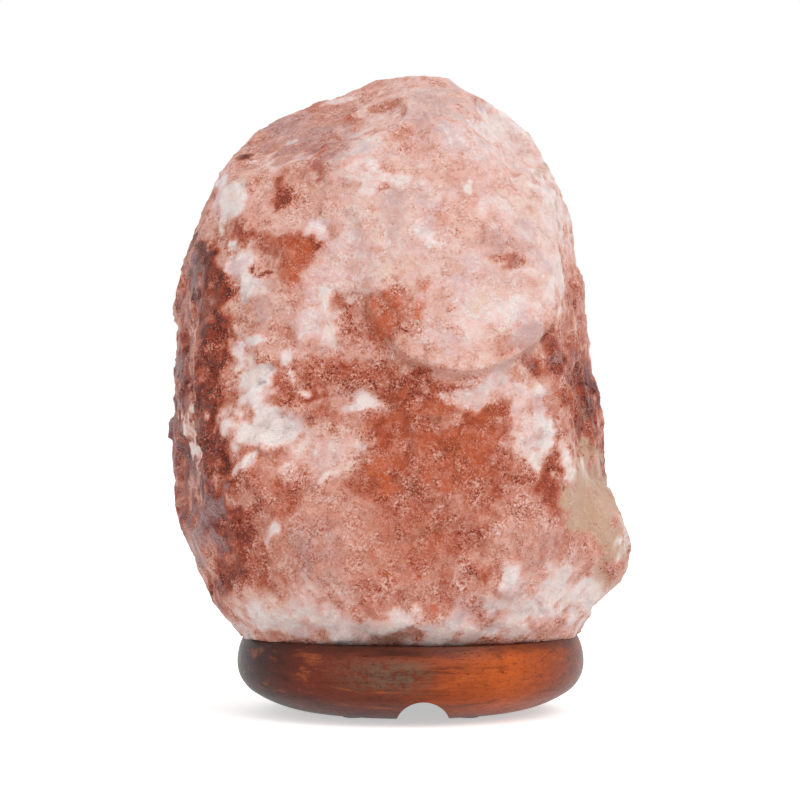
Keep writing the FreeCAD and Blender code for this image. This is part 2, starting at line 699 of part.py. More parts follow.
def rock_ring(share, cuts):
    """A level outline of the rock: the smooth block with its chips broken off and the front's ledge added."""
    (ledge_x, ledge_z), (half_x, half_z), ledge_depth = LEDGE_ON_FRONT
    spots = []
    for step in range(ROCK_POINTS):
        spot = smooth_spot(2 * math.pi * step / ROCK_POINTS, share)
        ahead = Vector(spot.x, spot.y, 0).normalize()
        loss = 0.0
        for middle, normal, width, depth in cuts:
            away = spot - middle
            over = min(max(away.dot(normal) + depth, 0.0), depth * 2)
            facing = max(normal.dot(ahead), CHIP_FACING)
            loss = max(loss, over * fade(away.Length, width * CHIP_CORE, width) / facing)
        edge = math.hypot((spot.x / sheet.rock_height - ledge_x) / half_x, (share - ledge_z) / half_z)
        gain = ledge_depth * sheet.rock_height * fade(edge, *LEDGE_RIM) if spot.y < 0 else 0.0
        spots.append(spot + ahead * (gain - loss))
    curve = Part.BSplineCurve()
    even_steps = [step / ROCK_POINTS for step in range(ROCK_POINTS + 1)]
    curve.interpolate(Points=spots, PeriodicFlag=True, Parameters=even_steps)
    return Part.Wire(curve.toShape())


def make_rough_rock():
    """The hewn block, lofted through its level outlines."""
    rough = doc.addObject("Part::Feature", "rough_rock")
    cuts = chip_cuts()
    rough.Shape = Part.makeLoft([rock_ring(share, cuts) for share in RING_SHARES], True, True)
    rough.Placement = Placement(Vector(sheet.stand_x, 0, JOINT.value), Rotation())
    return rough


def make_salt_crystal():
    """The block with the blind bore for the bulb and the pilot holes for the wood screws."""
    bore = primitive(
        "Part::Cylinder",
        "bulb_bore",
        Radius=size("holder_hole_radius"),
        Height=size("bore_depth"),
        Placement__Base__x=size("stand_x"),
        Placement__Base__z=JOINT,
    )
    rock = combine("Part::Cut", "bored_rock", make_rough_rock(), bore)
    reach = size("screw_bite") + size("pilot_spare")
    for index in range(SCREW_COUNT):
        angle = HALF_TURN / (SCREW_COUNT - 1) * index
        turned = math.radians(angle)
        pilot = primitive(
            "Part::Cylinder",
            f"pilot_hole_{index + 1}",
            Radius=size("screw_shank_radius") + size("slip"),
            Height=reach,
            Placement__Base__x=size("stand_x") + SCREW_CIRCLE * round(math.cos(turned), 9),
            Placement__Base__y=SCREW_CIRCLE * round(math.sin(turned), 9),
            Placement__Base__z=JOINT,
        )
        last = index == SCREW_COUNT - 1
        rock = combine("Part::Cut", "salt_crystal" if last else f"rock_{index + 1}", rock, pilot)
    return rock


# ---------------------------------------------------------------- spring clip and cord entry
def make_clip_bridge():
    """The flat strip of spring steel under the lamp holder, between the two arms."""
    body = new_body("clip_bridge")
    sketch = new_sketch(body, "strip_outline", "XY_Plane", BRIDGE)
    half_length, half_width = size("bridge_length") / 2, size("bridge_width") / 2
    draw_box(sketch, -half_length, half_length, -half_width, half_width)
    pad(body, "strip", sketch, size("bridge_thickness"))
    hole = new_sketch(body, "nipple_hole_circle", "XY_Plane", BRIDGE)
    draw_circle(hole, 0, 0, size("nipple_radius") + size("slip"))
    pocket(body, "nipple_hole", hole, reversed_way=True)
    return body


def make_clip_arm(label, turned):
    """One arm of the clip: it leans out to press on the bore, and turns in at its tip."""
    body = new_body(label)
    body.Placement = Placement(Vector(), Rotation(Vector(0, 0, 1), turned))
    bind(body, Placement__Base__x=size("stand_x"))
    root = size("bridge_length") / 2 + size("bend_gap") + size("bend_radius")
    root_height = BRIDGE + size("bend_radius")
    thickness = size("arm_thickness")
    edge_reach, half_width = size("holder_hole_radius") - size("arm_gap"), size("arm_width") / 2
    press = (edge_reach * edge_reach - half_width * half_width).root()
    tip = press - size("arm_tip_turn")
    strip = new_sketch(body, "arm_outline", "XZ_Plane")
    outline = (
        (root - thickness / 2, root_height),
        (root + thickness / 2, root_height),
        (press, BRIDGE + size("arm_press_height")),
        (tip, BRIDGE + size("arm_tip_height")),
        (tip - thickness, BRIDGE + size("arm_tip_height")),
        (press - thickness, BRIDGE + size("arm_press_height")),
    )
    draw_outline(strip, outline)
    pad(body, "arm", strip, size("arm_width"), both_ways=True)
    bend = new_sketch(body, "bend_circle", "XZ_Plane")
    draw_circle(bend, root, root_height, size("bend_radius"))
    pad(body, "bend", bend, size("arm_width"), both_ways=True)
    return body


def make_entry_nipple():
    """The threaded tube that joins the clip to the holder and lets the cord in."""
    body = new_body("entry_nipple")
    outer, inner = size("nipple_radius"), size("cord_bore_radius")
    corners = ((inner, NIPPLE_FOOT), (outer, NIPPLE_FOOT), (outer, NIPPLE_TOP), (inner, NIPPLE_TOP))
    turn(body, "tube", corners)
    return body


def make_nipple_nut():
    """The hexagon nut that clamps the bridge against the holder."""
    body = new_body("nipple_nut")
    sketch = new_sketch(body, "hexagon", "XY_Plane", BRIDGE - size("nut_thickness"))
    corner = size("nut_flats") / math.sqrt(3)
    sixths = [math.radians(60.0 * step) for step in range(6)]
    draw_outline(sketch, [(corner * math.cos(a), corner * round(math.sin(a), 9)) for a in sixths])
    draw_circle(sketch, 0, 0, size("nipple_radius") + size("slip") / 2)
    pad(body, "nut", sketch, size("nut_thickness"))
    return body


def make_cord_grip():
    """The nylon collar on the nipple's lower end, with a rounded mouth for the cord."""
    body = new_body("cord_grip")
    outer, bore, mouth = size("grip_radius"), size("cord_bore_radius"), size("grip_mouth")
    socket = size("nipple_radius") + size("slip") / 2
    outline = (
        (bore + mouth, GRIP_FOOT),
        (outer - mouth, GRIP_FOOT, Arc(mouth)),
        (outer, GRIP_FOOT + mouth),
        (outer, GRIP_TOP),
        (socket, GRIP_TOP),
        (socket, NIPPLE_FOOT),
        (bore, NIPPLE_FOOT),
        (bore, GRIP_FOOT + mouth, Arc(mouth)),
    )
    turn(body, "collar", outline)
    hole = new_sketch(body, "grub_hole_circle", "XZ_Plane")
    draw_circle(hole, 0, GRIP_GRUB, size("grub_radius") + size("slip") / 2)
    pocket(body, "grub_hole", hole, reversed_way=False)
    return body


GRIP_GRUB = (GRIP_FOOT + NIPPLE_FOOT) / 2
CAP_GRUB = CAP_FOOT + size("cap_floor") / 2


def make_grub_screw(label, height, start, finish):
    """A set screw that lies front to back, with a driver slot in its outer end."""
    body = new_body(label)
    sketch = new_sketch(body, "shank_circle", "XZ_Plane", -finish)
    draw_circle(sketch, 0, height, size("grub_radius"))
    pad(body, "shank", sketch, finish - start)
    slot = new_sketch(body, "slot_outline", "XZ_Plane", -finish)
    half_slot = size("grub_radius") * 0.2
    reach = size("grub_radius") * 1.2
    draw_box(slot, -reach, reach, height - half_slot, height + half_slot)
    pocket(body, "driver_slot", slot, size("grub_radius") * 0.5, reversed_way=True)
    return body


# ---------------------------------------------------------------- lamp holder
def make_holder_cap():
    """The moulded cup at the foot of the holder, with a ledge for the contact block."""
    body = new_body("holder_cap")
    outer, foot = size("holder_radius"), size("cap_foot_radius")
    carrier_space = outer - size("cap_wall")
    below = carrier_space - size("ledge_width")
    thread = size("nipple_radius") + size("slip") / 2
    floor = CAP_FOOT + size("cap_floor")
    side = outer - foot
    outline = (
        (thread, CAP_FOOT),
        (foot, CAP_FOOT, Arc(side)),
        (outer, CAP_FOOT + side),
        (outer, CAP_TOP),
        (carrier_space, CAP_TOP),
        (carrier_space, LEDGE),
        (below, LEDGE),
        (below, floor),
        (thread, floor),
    )
    turn(body, "cup", outline)
    hole = new_sketch(body, "grub_hole_circle", "XZ_Plane")
    draw_circle(hole, 0, CAP_GRUB, size("grub_radius") + size("slip") / 2)
    pocket(body, "grub_hole", hole, reversed_way=False)
    return body


def make_contact_carrier():
    """The ceramic contact block: pockets for the terminals and slots for the contact strips."""
    body = new_body("contact_carrier")
    outer = size("holder_radius") - size("cap_wall") - size("slip")
    disc = new_sketch(body, "disc_circle", "XY_Plane", LEDGE)
    draw_circle(disc, 0, 0, outer)
    pad(body, "disc", disc, size("carrier_height"))
    gap = size("slip") / 2
    inner, far = size("block_inner") - gap, size("block_inner") + size("block_length") + gap
    half_width = size("block_width") / 2 + gap
    pockets = new_sketch(body, "pocket_outlines", "XY_Plane", LEDGE)
    draw_box(pockets, inner, far, -half_width, half_width)
    draw_box(pockets, -far, -inner, -half_width, half_width)
    pocket(body, "terminal_pockets", pockets, size("block_height") + gap, reversed_way=True)
    half_tongue = size("tongue_width") / 2 + gap
    slots = new_sketch(body, "slot_outlines", "XY_Plane", LEDGE)
    draw_box(slots, -inner - size("sheet_thickness"), -size("sheet_thickness") * 5, -half_tongue, half_tongue)
    strap_near, strap_far = STRAP_X - gap, STRAP_X + size("sheet_thickness") + gap
    draw_box(slots, strap_near, strap_far, -half_tongue, half_tongue)
    pocket(body, "strip_slots", slots, reversed_way=True)
    screws = new_sketch(body, "screw_way_circle", "YZ_Plane")
    draw_circle(screws, 0, TERMINAL_SCREW, size("terminal_head_radius") + gap)
    pocket(body, "screw_ways", screws, outer * 2, both_ways=True)
    return body


STRAP_X = size("block_inner") + size("block_length") / 2
TERMINAL_SCREW = LEDGE + size("block_height") / 2


def make_terminal_blocks():
    """Two brass blocks that clamp the cord's cores."""
    body = new_body("terminal_blocks")
    near, far = size("block_inner"), size("block_inner") + size("block_length")
    half_width = size("block_width") / 2
    sketch = new_sketch(body, "block_outline", "XY_Plane", LEDGE)
    draw_box(sketch, near, far, -half_width, half_width)
    block = pad(body, "block", sketch, size("block_height"))
    wire = new_sketch(body, "wire_hole_circle", "XY_Plane", LEDGE)
    draw_circle(wire, (near + far) / 2, 0, size("wire_hole_radius"))
    wire_hole = pocket(body, "wire_hole", wire, size("block_height") * 0.7, reversed_way=True)
    screw = new_sketch(body, "screw_hole_circle", "YZ_Plane")
    draw_circle(screw, 0, TERMINAL_SCREW, size("terminal_screw_radius") + size("slip") / 2)
    screw_hole = pocket(body, "screw_hole", screw, reversed_way=True)
    repeat_round(body, "both_blocks", [block, wire_hole, screw_hole], 2)
    return body


def make_terminal_screws():
    """The two clamping screws of the terminals, which lie across the holder."""
    body = new_body("terminal_screws")
    block_face = size("block_inner") + size("block_length")
    shank = new_sketch(body, "shank_circle", "YZ_Plane", (size("block_inner") + block_face) / 2)
    draw_circle(shank, 0, TERMINAL_SCREW, size("terminal_screw_radius"))
    one_shank = pad(body, "shank", shank, size("block_length") / 2)
    head = new_sketch(body, "head_circle", "YZ_Plane", block_face)
    draw_circle(head, 0, TERMINAL_SCREW, size("terminal_head_radius"))
    one_head = pad(body, "head", head, size("terminal_head_height"))
    repeat_round(body, "both_screws", [one_shank, one_head], 2)
    return body


def make_shell_strap():
    """The brass strip from the threaded shell down to its terminal."""
    body = new_body("shell_strap")
    half_width = size("tongue_width") / 2
    block_top = LEDGE + size("block_height")
    sketch = new_sketch(body, "strap_outline", "XY_Plane", block_top)
    draw_box(sketch, STRAP_X, STRAP_X + size("sheet_thickness"), -half_width, half_width)
    pad(body, "strap", sketch, CARRIER_TOP - block_top)
    return body


def make_centre_contact():
    """The springy brass tongue under the bulb, with a tail that runs down to its terminal."""
    body = new_body("centre_contact")
    sheet_thickness = size("sheet_thickness")
    tail = -size("block_inner") + size("slip") / 2
    half = size("solder_radius")
    low, high = CARRIER_TOP, CARRIER_TOP + size("tongue_rise")
    sketch = new_sketch(body, "tongue_outline", "XZ_Plane")
    outline = (
        (tail, LEDGE + sheet_thickness),
        (tail + sheet_thickness, LEDGE + sheet_thickness),
        (tail + sheet_thickness, low),
        (half, low),
        (half, low + sheet_thickness),
        (tail + sheet_thickness * 2.5, low + sheet_thickness),
        (half * 0.4, high - sheet_thickness),
        (half, high - sheet_thickness),
        (half, high),
        (0, high),
        (tail, low + sheet_thickness * 1.5),
    )
    draw_outline(sketch, outline)
    pad(body, "tongue", sketch, size("tongue_width"), both_ways=True)
    return body


def make_screw_shell():
    """The threaded brass shell that the bulb screws into."""
    body = new_body("plain_shell")
    outer, wall = size("shell_radius"), size("sheet_thickness")
    top = CARRIER_TOP + size("shell_length")
    outline = (
        (size("shell_floor_radius"), CARRIER_TOP),
        (outer, CARRIER_TOP),
        (outer, top),
        (outer - wall, top),
        (outer - wall, CARRIER_TOP + wall),
        (size("shell_floor_radius"), CARRIER_TOP + wall),
    )
    turn(body, "cup", outline)
    ridge_path = outer - wall - size("shell_ridge_radius") * 0.3
    ridge = helical_ridge(
        "shell_ridge", ridge_path, size("shell_ridge_radius"), SHELL_RIDGE, size("shell_turns")
    )
    return combine("Part::Fuse", "screw_shell", body, ridge)


def make_holder_skirt():
    """The upper sleeve of the holder, which presses the contact block onto its ledge."""
    body = new_body("holder_skirt")
    outer, bore, mouth = size("holder_radius"), size("skirt_bore_radius"), size("skirt_rounding")
    spigot = outer - size("cap_wall") - size("slip")
    outline = (
        (bore, CARRIER_TOP),
        (spigot, CARRIER_TOP),
        (spigot, CAP_TOP),
        (outer, CAP_TOP),
        (outer, SKIRT_TOP - mouth, Arc(mouth)),
        (outer - mouth, SKIRT_TOP),
        (bore, SKIRT_TOP),
    )
    turn(body, "sleeve", outline)
    return body


# ---------------------------------------------------------------- bulb
def make_solder_contact():
    """The round contact at the foot of the bulb."""
    body = new_body("solder_contact")
    radius, top = size("solder_radius"), BULB_FOOT + size("solder_height")
    outline = (
        (0, BULB_FOOT),
        (radius * 0.6, BULB_FOOT),
        (radius, BULB_FOOT + size("solder_height") * 0.5),
        (radius, top),
        (0, top),
    )
    turn(body, "dome", outline)
    return body


def make_cap_insulator():
    """The black glass ring between the contact and the screw cap."""
    body = new_body("cap_insulator")
    wide = size("bulb_cap_radius") - size("sheet_thickness")
    narrow = size("solder_radius") * 1.25
    outline = ((0, INSULATOR), (narrow, INSULATOR), (wide, BULB_CAP), (0, BULB_CAP))
    turn(body, "ring", outline)
    return body


def make_bulb_cap():
    """The thin metal screw cap of the bulb, with its wound thread and a flared collar."""
    body = new_body("plain_bulb_cap")
    outer, wall, collar = size("bulb_cap_radius"), size("sheet_thickness"), size("collar_radius")
    collar_foot = BULB_CAP_TOP - size("collar_height")
    outline = (
        (size("stem_radius"), BULB_CAP),
        (outer, BULB_CAP),
        (outer, collar_foot),
        (collar, BULB_CAP_TOP - size("collar_height") * 0.5),
        (collar, BULB_CAP_TOP),
        (outer - wall, BULB_CAP_TOP),
        (outer - wall, BULB_CAP + wall),
        (size("stem_radius"), BULB_CAP + wall),
    )
    turn(body, "cup", outline)
    start = SHELL_RIDGE + size("thread_pitch") * 1.5
    path = outer + size("bulb_ridge_radius") * 0.25
    ridge = helical_ridge("bulb_ridge", path, size("bulb_ridge_radius"), start, size("bulb_turns"))
    return combine("Part::Fuse", "bulb_cap", body, ridge)


LEAN = math.radians(30.0)


def make_bulb_glass():
    """The blown bulb: a round end that runs into a waisted neck, with one even wall."""
    body = new_body("bulb_glass")
    wall = size("glass_wall")
    neck, ball = size("neck_radius"), size("glass_radius")
    rim = ball * math.cos(LEAN)
    waist = (rim - neck) / (1 - math.cos(LEAN))
    waist_foot = GLASS_CENTRE - ball * math.sin(LEAN) - waist * math.sin(LEAN)
    inner = ball - wall
    outline = (
        (neck - wall, NECK_FOOT),
        (neck, NECK_FOOT),
        (neck, waist_foot, Arc(waist, left=False)),
        (rim, GLASS_CENTRE - ball * math.sin(LEAN), Arc(ball)),
        (0, GLASS_CENTRE + ball),
        (0, GLASS_CENTRE + inner, Arc(inner, left=False)),
        (inner * math.cos(LEAN), GLASS_CENTRE - inner * math.sin(LEAN), Arc(waist + wall)),
        (neck - wall, waist_foot),
    )
    turn(body, "envelope", outline)
    return body


def make_bulb_stem():
    """The glass stem inside the bulb, with passages for the two lead wires."""
    body = new_body("bulb_stem")
    radius, flare = size("stem_radius"), size("neck_radius") - size("glass_wall") - size("slip")
    foot, top = NECK_FOOT, NECK_FOOT + size("stem_length")
    outline = (
        (0, foot),
        (flare, foot),
        (flare, foot + size("glass_wall")),
        (radius, foot + flare),
        (radius, top),
        (0, top),
    )
    turn(body, "stem", outline)
    holes = new_sketch(body, "passage_circles", "XY_Plane", foot)
    for side in (1, -1):
        draw_circle(holes, size("lead_spacing") * side, 0, size("lead_radius") + size("slip") / 2)
    pocket(body, "passages", holes, reversed_way=True)
    return body


def make_lead_wires():
    """The two wires that carry the filament, which spread above the stem."""
    body = new_body("lead_wires")
    stem_top = NECK_FOOT + size("stem_length")
    start = BULB_CAP + size("slip")
    path = new_sketch(body, "wire_path", "XZ_Plane")
    near, wide = size("lead_spacing"), size("lead_spread")
    turns_out = stem_top + size("lead_radius") * 4
    wire_end = FILAMENT - size("filament_coil_radius") - size("filament_wire_radius") - size("slip")
    spots = ((near, start), (near, turns_out), (wide, wire_end))
    for index in (0, 1):
        ends = [Vector(Size.of(a).value, Size.of(b).value, 0) for a, b in spots[index : index + 2]]
        path.addGeometry(Part.LineSegment(*ends), False)
        tie_corner(path, index, 1, *spots[index])
    tie_corner(path, 1, 2, *spots[2])
    path.addConstraint(Sketcher.Constraint("Coincident", 0, 2, 1, 1))
    section = new_sketch(body, "wire_circle", "XY_Plane", start)
    draw_circle(section, near, 0, size("lead_radius"))
    doc.recompute()
    wire = body.newObject("PartDesign::AdditivePipe", "wire")
    wire.Profile = section
    wire.Spine = (path, ["Edge1", "Edge2"])
    wire.Transition = "Right corner"
    doc.recompute()
    repeat_round(body, "both_wires", [wire], 2)
    return body


def make_filament():
    """The coiled tungsten wire, strung between the ends of the lead wires."""
    half = size("lead_spread") + size("filament_coil_radius")
    helix = doc.addObject("Part::Helix", "filament_helix")
    helix.Placement = Placement(Vector(), Rotation(Vector(0, 1, 0), QUARTER_TURN))
    bind(
        helix,
        Pitch=size("filament_pitch"),
        Height=half * 2,
        Radius=size("filament_coil_radius"),
        Placement__Base__x=size("stand_x") - half,
        Placement__Base__z=FILAMENT,
    )
    circle = doc.addObject("Part::Circle", "filament_section")
    circle.Placement = Placement(Vector(), Rotation(Vector(1, 0, 0), QUARTER_TURN))
    bind(
        circle,
        Radius=size("filament_wire_radius"),
        Placement__Base__x=size("stand_x") - half,
        Placement__Base__z=FILAMENT - size("filament_coil_radius"),
    )
    doc.recompute()
    sweep = doc.addObject("Part::Sweep", "filament")
    sweep.Label = "filament"
    sweep.Sections = [circle]
    sweep.Spine = (helix, ["Edge1"])
    sweep.Solid = True
    sweep.Frenet = True
    doc.recompute()
    return sweep


# ---------------------------------------------------------------- assembly and export
pieces = [
    make_wood_base(),
    make_foot_pads(),
    make_base_screws(),
    make_screw_washers(),
    make_salt_crystal(),
    make_clip_bridge(),
    make_clip_arm("clip_arm_right", 0.0),
    make_clip_arm("clip_arm_left", HALF_TURN),
    make_entry_nipple(),
    make_nipple_nut(),
    make_cord_grip(),
    make_grub_screw("cord_grip_screw", GRIP_GRUB, size("cord_bore_radius"), size("grip_radius")),
    make_holder_cap(),
    make_grub_screw("cap_set_screw", CAP_GRUB, size("nipple_radius") + size("slip"), size("cap_foot_radius")),
    make_contact_carrier(),
    make_terminal_blocks(),
    make_terminal_screws(),
    make_shell_strap(),
    make_centre_contact(),
    make_screw_shell(),
    make_holder_skirt(),
    make_solder_contact(),
    make_cap_insulator(),
    make_bulb_cap(),
    make_bulb_glass(),
    make_bulb_stem(),
    make_lead_wires(),
    make_filament(),
]
doc.recompute()

for thing in doc.Objects:
    if "Invalid" in thing.State or "Error" in thing.State:
        raise ValueError(f"{thing.Label} failed: {thing.State}")
os.makedirs("parts", exist_ok=True)
for piece in pieces:
    if piece.Shape.isNull() or not piece.Shape.isValid() or not piece.Shape.Solids:
        raise ValueError(f"{piece.Label} is not a sound solid")
for piece in pieces:
    piece.Shape.exportStep(f"parts/{piece.Label}.step")
    print(f"{piece.Label}: {len(piece.Shape.Solids)} solids, {piece.Shape.Volume:.1f} mm3")
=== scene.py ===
"""The looks of a salt crystal lamp: a hewn block of rock salt on a turned wooden base.

Lengths of the rock are in millimetres from the middle of its foot (right, back and up), and go into the mesh
in metres. Every other length is in metres.
"""

import itertools
import json
import logging
import math
from collections.abc import Mapping, Sequence
from dataclasses import dataclass
from enum import Enum

import bpy
import numpy as np
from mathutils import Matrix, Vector

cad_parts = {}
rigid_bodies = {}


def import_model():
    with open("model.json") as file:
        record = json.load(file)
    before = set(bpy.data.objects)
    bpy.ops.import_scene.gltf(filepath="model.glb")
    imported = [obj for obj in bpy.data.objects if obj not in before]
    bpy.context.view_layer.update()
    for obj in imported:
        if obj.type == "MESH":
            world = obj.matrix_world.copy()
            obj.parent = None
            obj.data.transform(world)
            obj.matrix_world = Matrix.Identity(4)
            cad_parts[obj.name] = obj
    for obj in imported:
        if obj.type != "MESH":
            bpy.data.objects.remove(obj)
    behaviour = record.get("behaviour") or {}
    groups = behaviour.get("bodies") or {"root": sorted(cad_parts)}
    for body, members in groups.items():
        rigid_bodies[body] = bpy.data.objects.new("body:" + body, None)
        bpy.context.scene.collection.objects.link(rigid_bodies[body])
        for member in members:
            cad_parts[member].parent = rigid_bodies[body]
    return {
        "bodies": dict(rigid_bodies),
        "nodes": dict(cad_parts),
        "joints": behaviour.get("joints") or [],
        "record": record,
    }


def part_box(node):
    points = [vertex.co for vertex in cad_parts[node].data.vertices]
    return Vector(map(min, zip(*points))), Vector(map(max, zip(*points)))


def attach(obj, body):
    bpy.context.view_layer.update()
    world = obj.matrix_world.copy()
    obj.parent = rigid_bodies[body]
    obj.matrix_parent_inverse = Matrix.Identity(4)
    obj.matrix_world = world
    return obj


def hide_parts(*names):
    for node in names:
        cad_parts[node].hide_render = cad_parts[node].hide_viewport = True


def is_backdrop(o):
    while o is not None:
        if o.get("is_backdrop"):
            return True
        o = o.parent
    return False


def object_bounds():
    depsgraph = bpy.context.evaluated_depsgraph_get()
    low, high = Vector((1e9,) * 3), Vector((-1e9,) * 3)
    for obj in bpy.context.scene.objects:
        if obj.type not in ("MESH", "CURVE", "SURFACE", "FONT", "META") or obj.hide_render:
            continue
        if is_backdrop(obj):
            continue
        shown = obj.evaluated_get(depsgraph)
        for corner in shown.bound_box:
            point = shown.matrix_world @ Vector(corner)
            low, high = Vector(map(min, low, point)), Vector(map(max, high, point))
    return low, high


MM = 0.001
Colour = tuple[float, float, float, float]
WHITE: Colour = (1, 1, 1, 1)
log = logging.getLogger("salt_lamp")


def shade(red: int, green: int, blue: int) -> Colour:
    """Turns a colour as it is seen into the linear colour that a shader takes.

    Args:
        red, green, blue: Its parts, from 0 to 255.

    Returns:
        The same parts on the linear scale from 0 to 1, and full cover.
    """
    steps = np.array((red, green, blue)) / 255
    linear = np.where(steps <= 0.04045, steps / 12.92, ((steps + 0.055) / 1.055) ** 2.4)
    return (*(round(float(part), 4) for part in linear), 1.0)


# ----------------------------------------------------------------------------------- numbers over space
def ramp(values: np.ndarray, low: float, high: float) -> np.ndarray:
    """Rises smoothly from 0 at low to 1 at high: 3 s squared less 2 s cubed, of the share s of the way."""
    share = np.clip((values - low) / (high - low), 0, 1)
    return share * share * (3 - 2 * share)


def scatter(cells: np.ndarray, seed: int) -> np.ndarray:
    """Gives each whole-numbered cell three numbers from -1 to 1 that only it and the seed decide.

    Args:
        cells: Whole numbers, three to a row.
        seed: Chooses the set of numbers.

    Returns:
        Three numbers a row, from the bits of the cell's number mixed by products and shifts.
    """
    low_bits = 0xFFFFFFFF
    key = cells @ np.array((73856093, 19349663, 83492791)) + seed * 7919
    channels = []
    for channel in range(3):
        bits = (key + channel * 40503 * 65537) & low_bits
        bits = ((bits ^ (bits >> 15)) * 0x2C1B3C6D) & low_bits
        bits = ((bits ^ (bits >> 12)) * 0x297A2D39) & low_bits
        channels.append((bits ^ (bits >> 15)) / 2**31 - 1)
    return np.stack(channels, axis=-1)


@dataclass(frozen=True)
class Noise:
    """Numbers that wander over space, always the same ones for the same settings.

    Attributes:
        height: What its numbers from about -1 to 1 are multiplied by.
        size: Spacing of its widest lumps or of its cells.
        seed: Chooses the noise.
        octaves: How many layers of lumps are added, each at half the spacing and half the height.
    """

    height: float
    size: float
    seed: int
    octaves: int = 1

    # how far apart seeds lie in the lattice, and what brings the lumps near 1
    SEED_STEP = 31.7
    LUMP_GAIN = 1.3
    # how far a cell's middle strays from its cube's, and the share of a cell's own step, in cubes
    STRAY = 0.4
    STEP = 0.3

    def billow(self, points: np.ndarray) -> np.ndarray:
        """Smooth lumps: each corner of a cube lattice has a random slope, and a quintic fade blends them.

        Args:
            points: Places, three numbers to a row.

        Returns:
            One number a row.
        """
        total = np.zeros(len(points))
        for octave in range(self.octaves):
            place = points / self.size * 2**octave + self.SEED_STEP * self.seed
            cell = np.floor(place).astype(np.int64)
            part = place - cell
            fade = part**3 * (part * (part * 6 - 15) + 10)
            for corner in itertools.product((0, 1), repeat=3):
                weight = np.prod(np.where(corner, fade, 1 - fade), axis=1)
                slope = scatter(cell + corner, self.seed + octave)
                total += weight * np.sum(slope * (part - corner), axis=1) * self.LUMP_GAIN / 2**octave
        return self.height * total

    def facets(self, points: np.ndarray) -> np.ndarray:
        """Broken facets: space splits into cells round scattered middles, each with its own tilted piece.

        Args:
            points: Places, three numbers to a row.

        Returns:
            The nearest middle's piece: the way from that middle times the cell's tilt, plus the cell's step.
        """
        place = points / self.size
        cell = np.floor(place).astype(np.int64)
        nearest = np.full(len(points), np.inf)
        height = np.zeros(len(points))
        for offset in itertools.product((-1, 0, 1), repeat=3):
            neighbour = cell + offset
            away = place - neighbour - 0.5 - self.STRAY * scatter(neighbour, self.seed)
            distance = np.sum(away**2, axis=1)
            tilted = np.sum(away * scatter(neighbour, self.seed + 1), axis=1)
            piece = tilted + self.STEP * scatter(neighbour, self.seed + 2)[:, 0]
            height = np.where(distance < nearest, piece, height)
            nearest = np.minimum(distance, nearest)
        return self.height * height


# ----------------------------------------------------------------------------------- the rock's patches
class Zone(Enum):
    """What the rock's mesh keeps for its material, by the name of the attribute."""

    TONE = "tone"
    EMBER = "ember"
    MAUVE_AND_RIM_SHEEN = "mauve"
    TAN = "tan"


@dataclass(frozen=True)
class Patch:
    """One oval place on the rock's front, as it lies in the upright plane of the rock's axis.

    Attributes:
        across: Middle, to the right of the stand's axis.
        up: Middle, above the rock's foot.
        half_width: Half its width.
        half_height: Half its height.
        tilt: Degrees that its upright axis leans to the right.
        level: The tone or the strength of the tint that it has, or how far it stands out.
    """

    across: float
    up: float
    half_width: float
    half_height: float
    tilt: float
    level: float

    def reach(self, across: np.ndarray, up: np.ndarray) -> np.ndarray:
        """Gives the distance from the middle, as a share of the oval's own reach that way.

        Args:
            across: How far to the right each place is.
            up: How far up each place is.

        Returns:
            The length of the way from the middle, turned by the tilt and divided by the half sizes.
        """
        lean = math.radians(self.tilt)
        right, rise = across - self.across, up - self.up
        side = right * math.cos(lean) - rise * math.sin(lean)
        along = right * math.sin(lean) + rise * math.cos(lean)
        return np.hypot(side / self.half_width, along / self.half_height)


# where the stand's axis and the rock's foot are in the photograph, and its pixels to the millimetre
AXIS_PIXEL = 410.5
FOOT_PIXEL = 633.3
PIXELS_PER_MM = 2.66


def drawn(*rows: Sequence[float]) -> list[Patch]:
    """Places ovals that were drawn over the photograph.

    Args:
        rows: Each oval's middle, from the left and from the top, its half width and its half height, all in
            the photograph's pixels, then its lean in degrees and its level.

    Returns:
        The ovals on the rock: middles to a whole millimetre, half sizes of a millimetre or more.
    """
    patches = []
    for left, top, half_width, half_height, tilt, level in rows:
        across = round((left - AXIS_PIXEL) / PIXELS_PER_MM)
        up = round((FOOT_PIXEL - top) / PIXELS_PER_MM)
        half_sizes = [round(max(1, half / PIXELS_PER_MM), 1) for half in (half_width, half_height)]
        patches.append(Patch(across, up, *half_sizes, tilt, level))
    return patches


# tones from 0, dark red-brown, through 0.5, salmon, to 1, white, each painted over those before it
# wide and soft
WIDE_TONES = drawn(
    (330, 250, 150, 110, 0, 0.62), (470, 200, 112, 112, 0, 0.8), (330, 140, 95, 34, 18, 0.44),
    (440, 110, 55, 26, 0, 0.7), (300, 335, 100, 36, 0, 0.56), (240, 420, 60, 90, 0, 0.42),
    (330, 450, 55, 60, 0, 0.52), (440, 470, 105, 90, 0, 0.36), (400, 560, 105, 60, 0, 0.42),
    (300, 575, 80, 50, 0, 0.5), (285, 612, 60, 26, 0, 0.74), (400, 628, 160, 11, 0, 0.82),
    (530, 585, 62, 58, 0, 0.62), (500, 395, 62, 26, 0, 0.62), (470, 285, 96, 84, 0, 0.72),
    (208, 300, 20, 60, -12, 0.02), (206, 440, 17, 112, 4, 0.1), (182, 399, 14, 88, 0, 0.12),
    (228, 560, 13, 62, 14, 0.18), (588, 420, 22, 100, -9, 0.22), (574, 295, 9, 56, -8, 0.36),
    (548, 350, 14, 24, 0, 0.16), (558, 482, 11, 46, -4, 0.22),
)
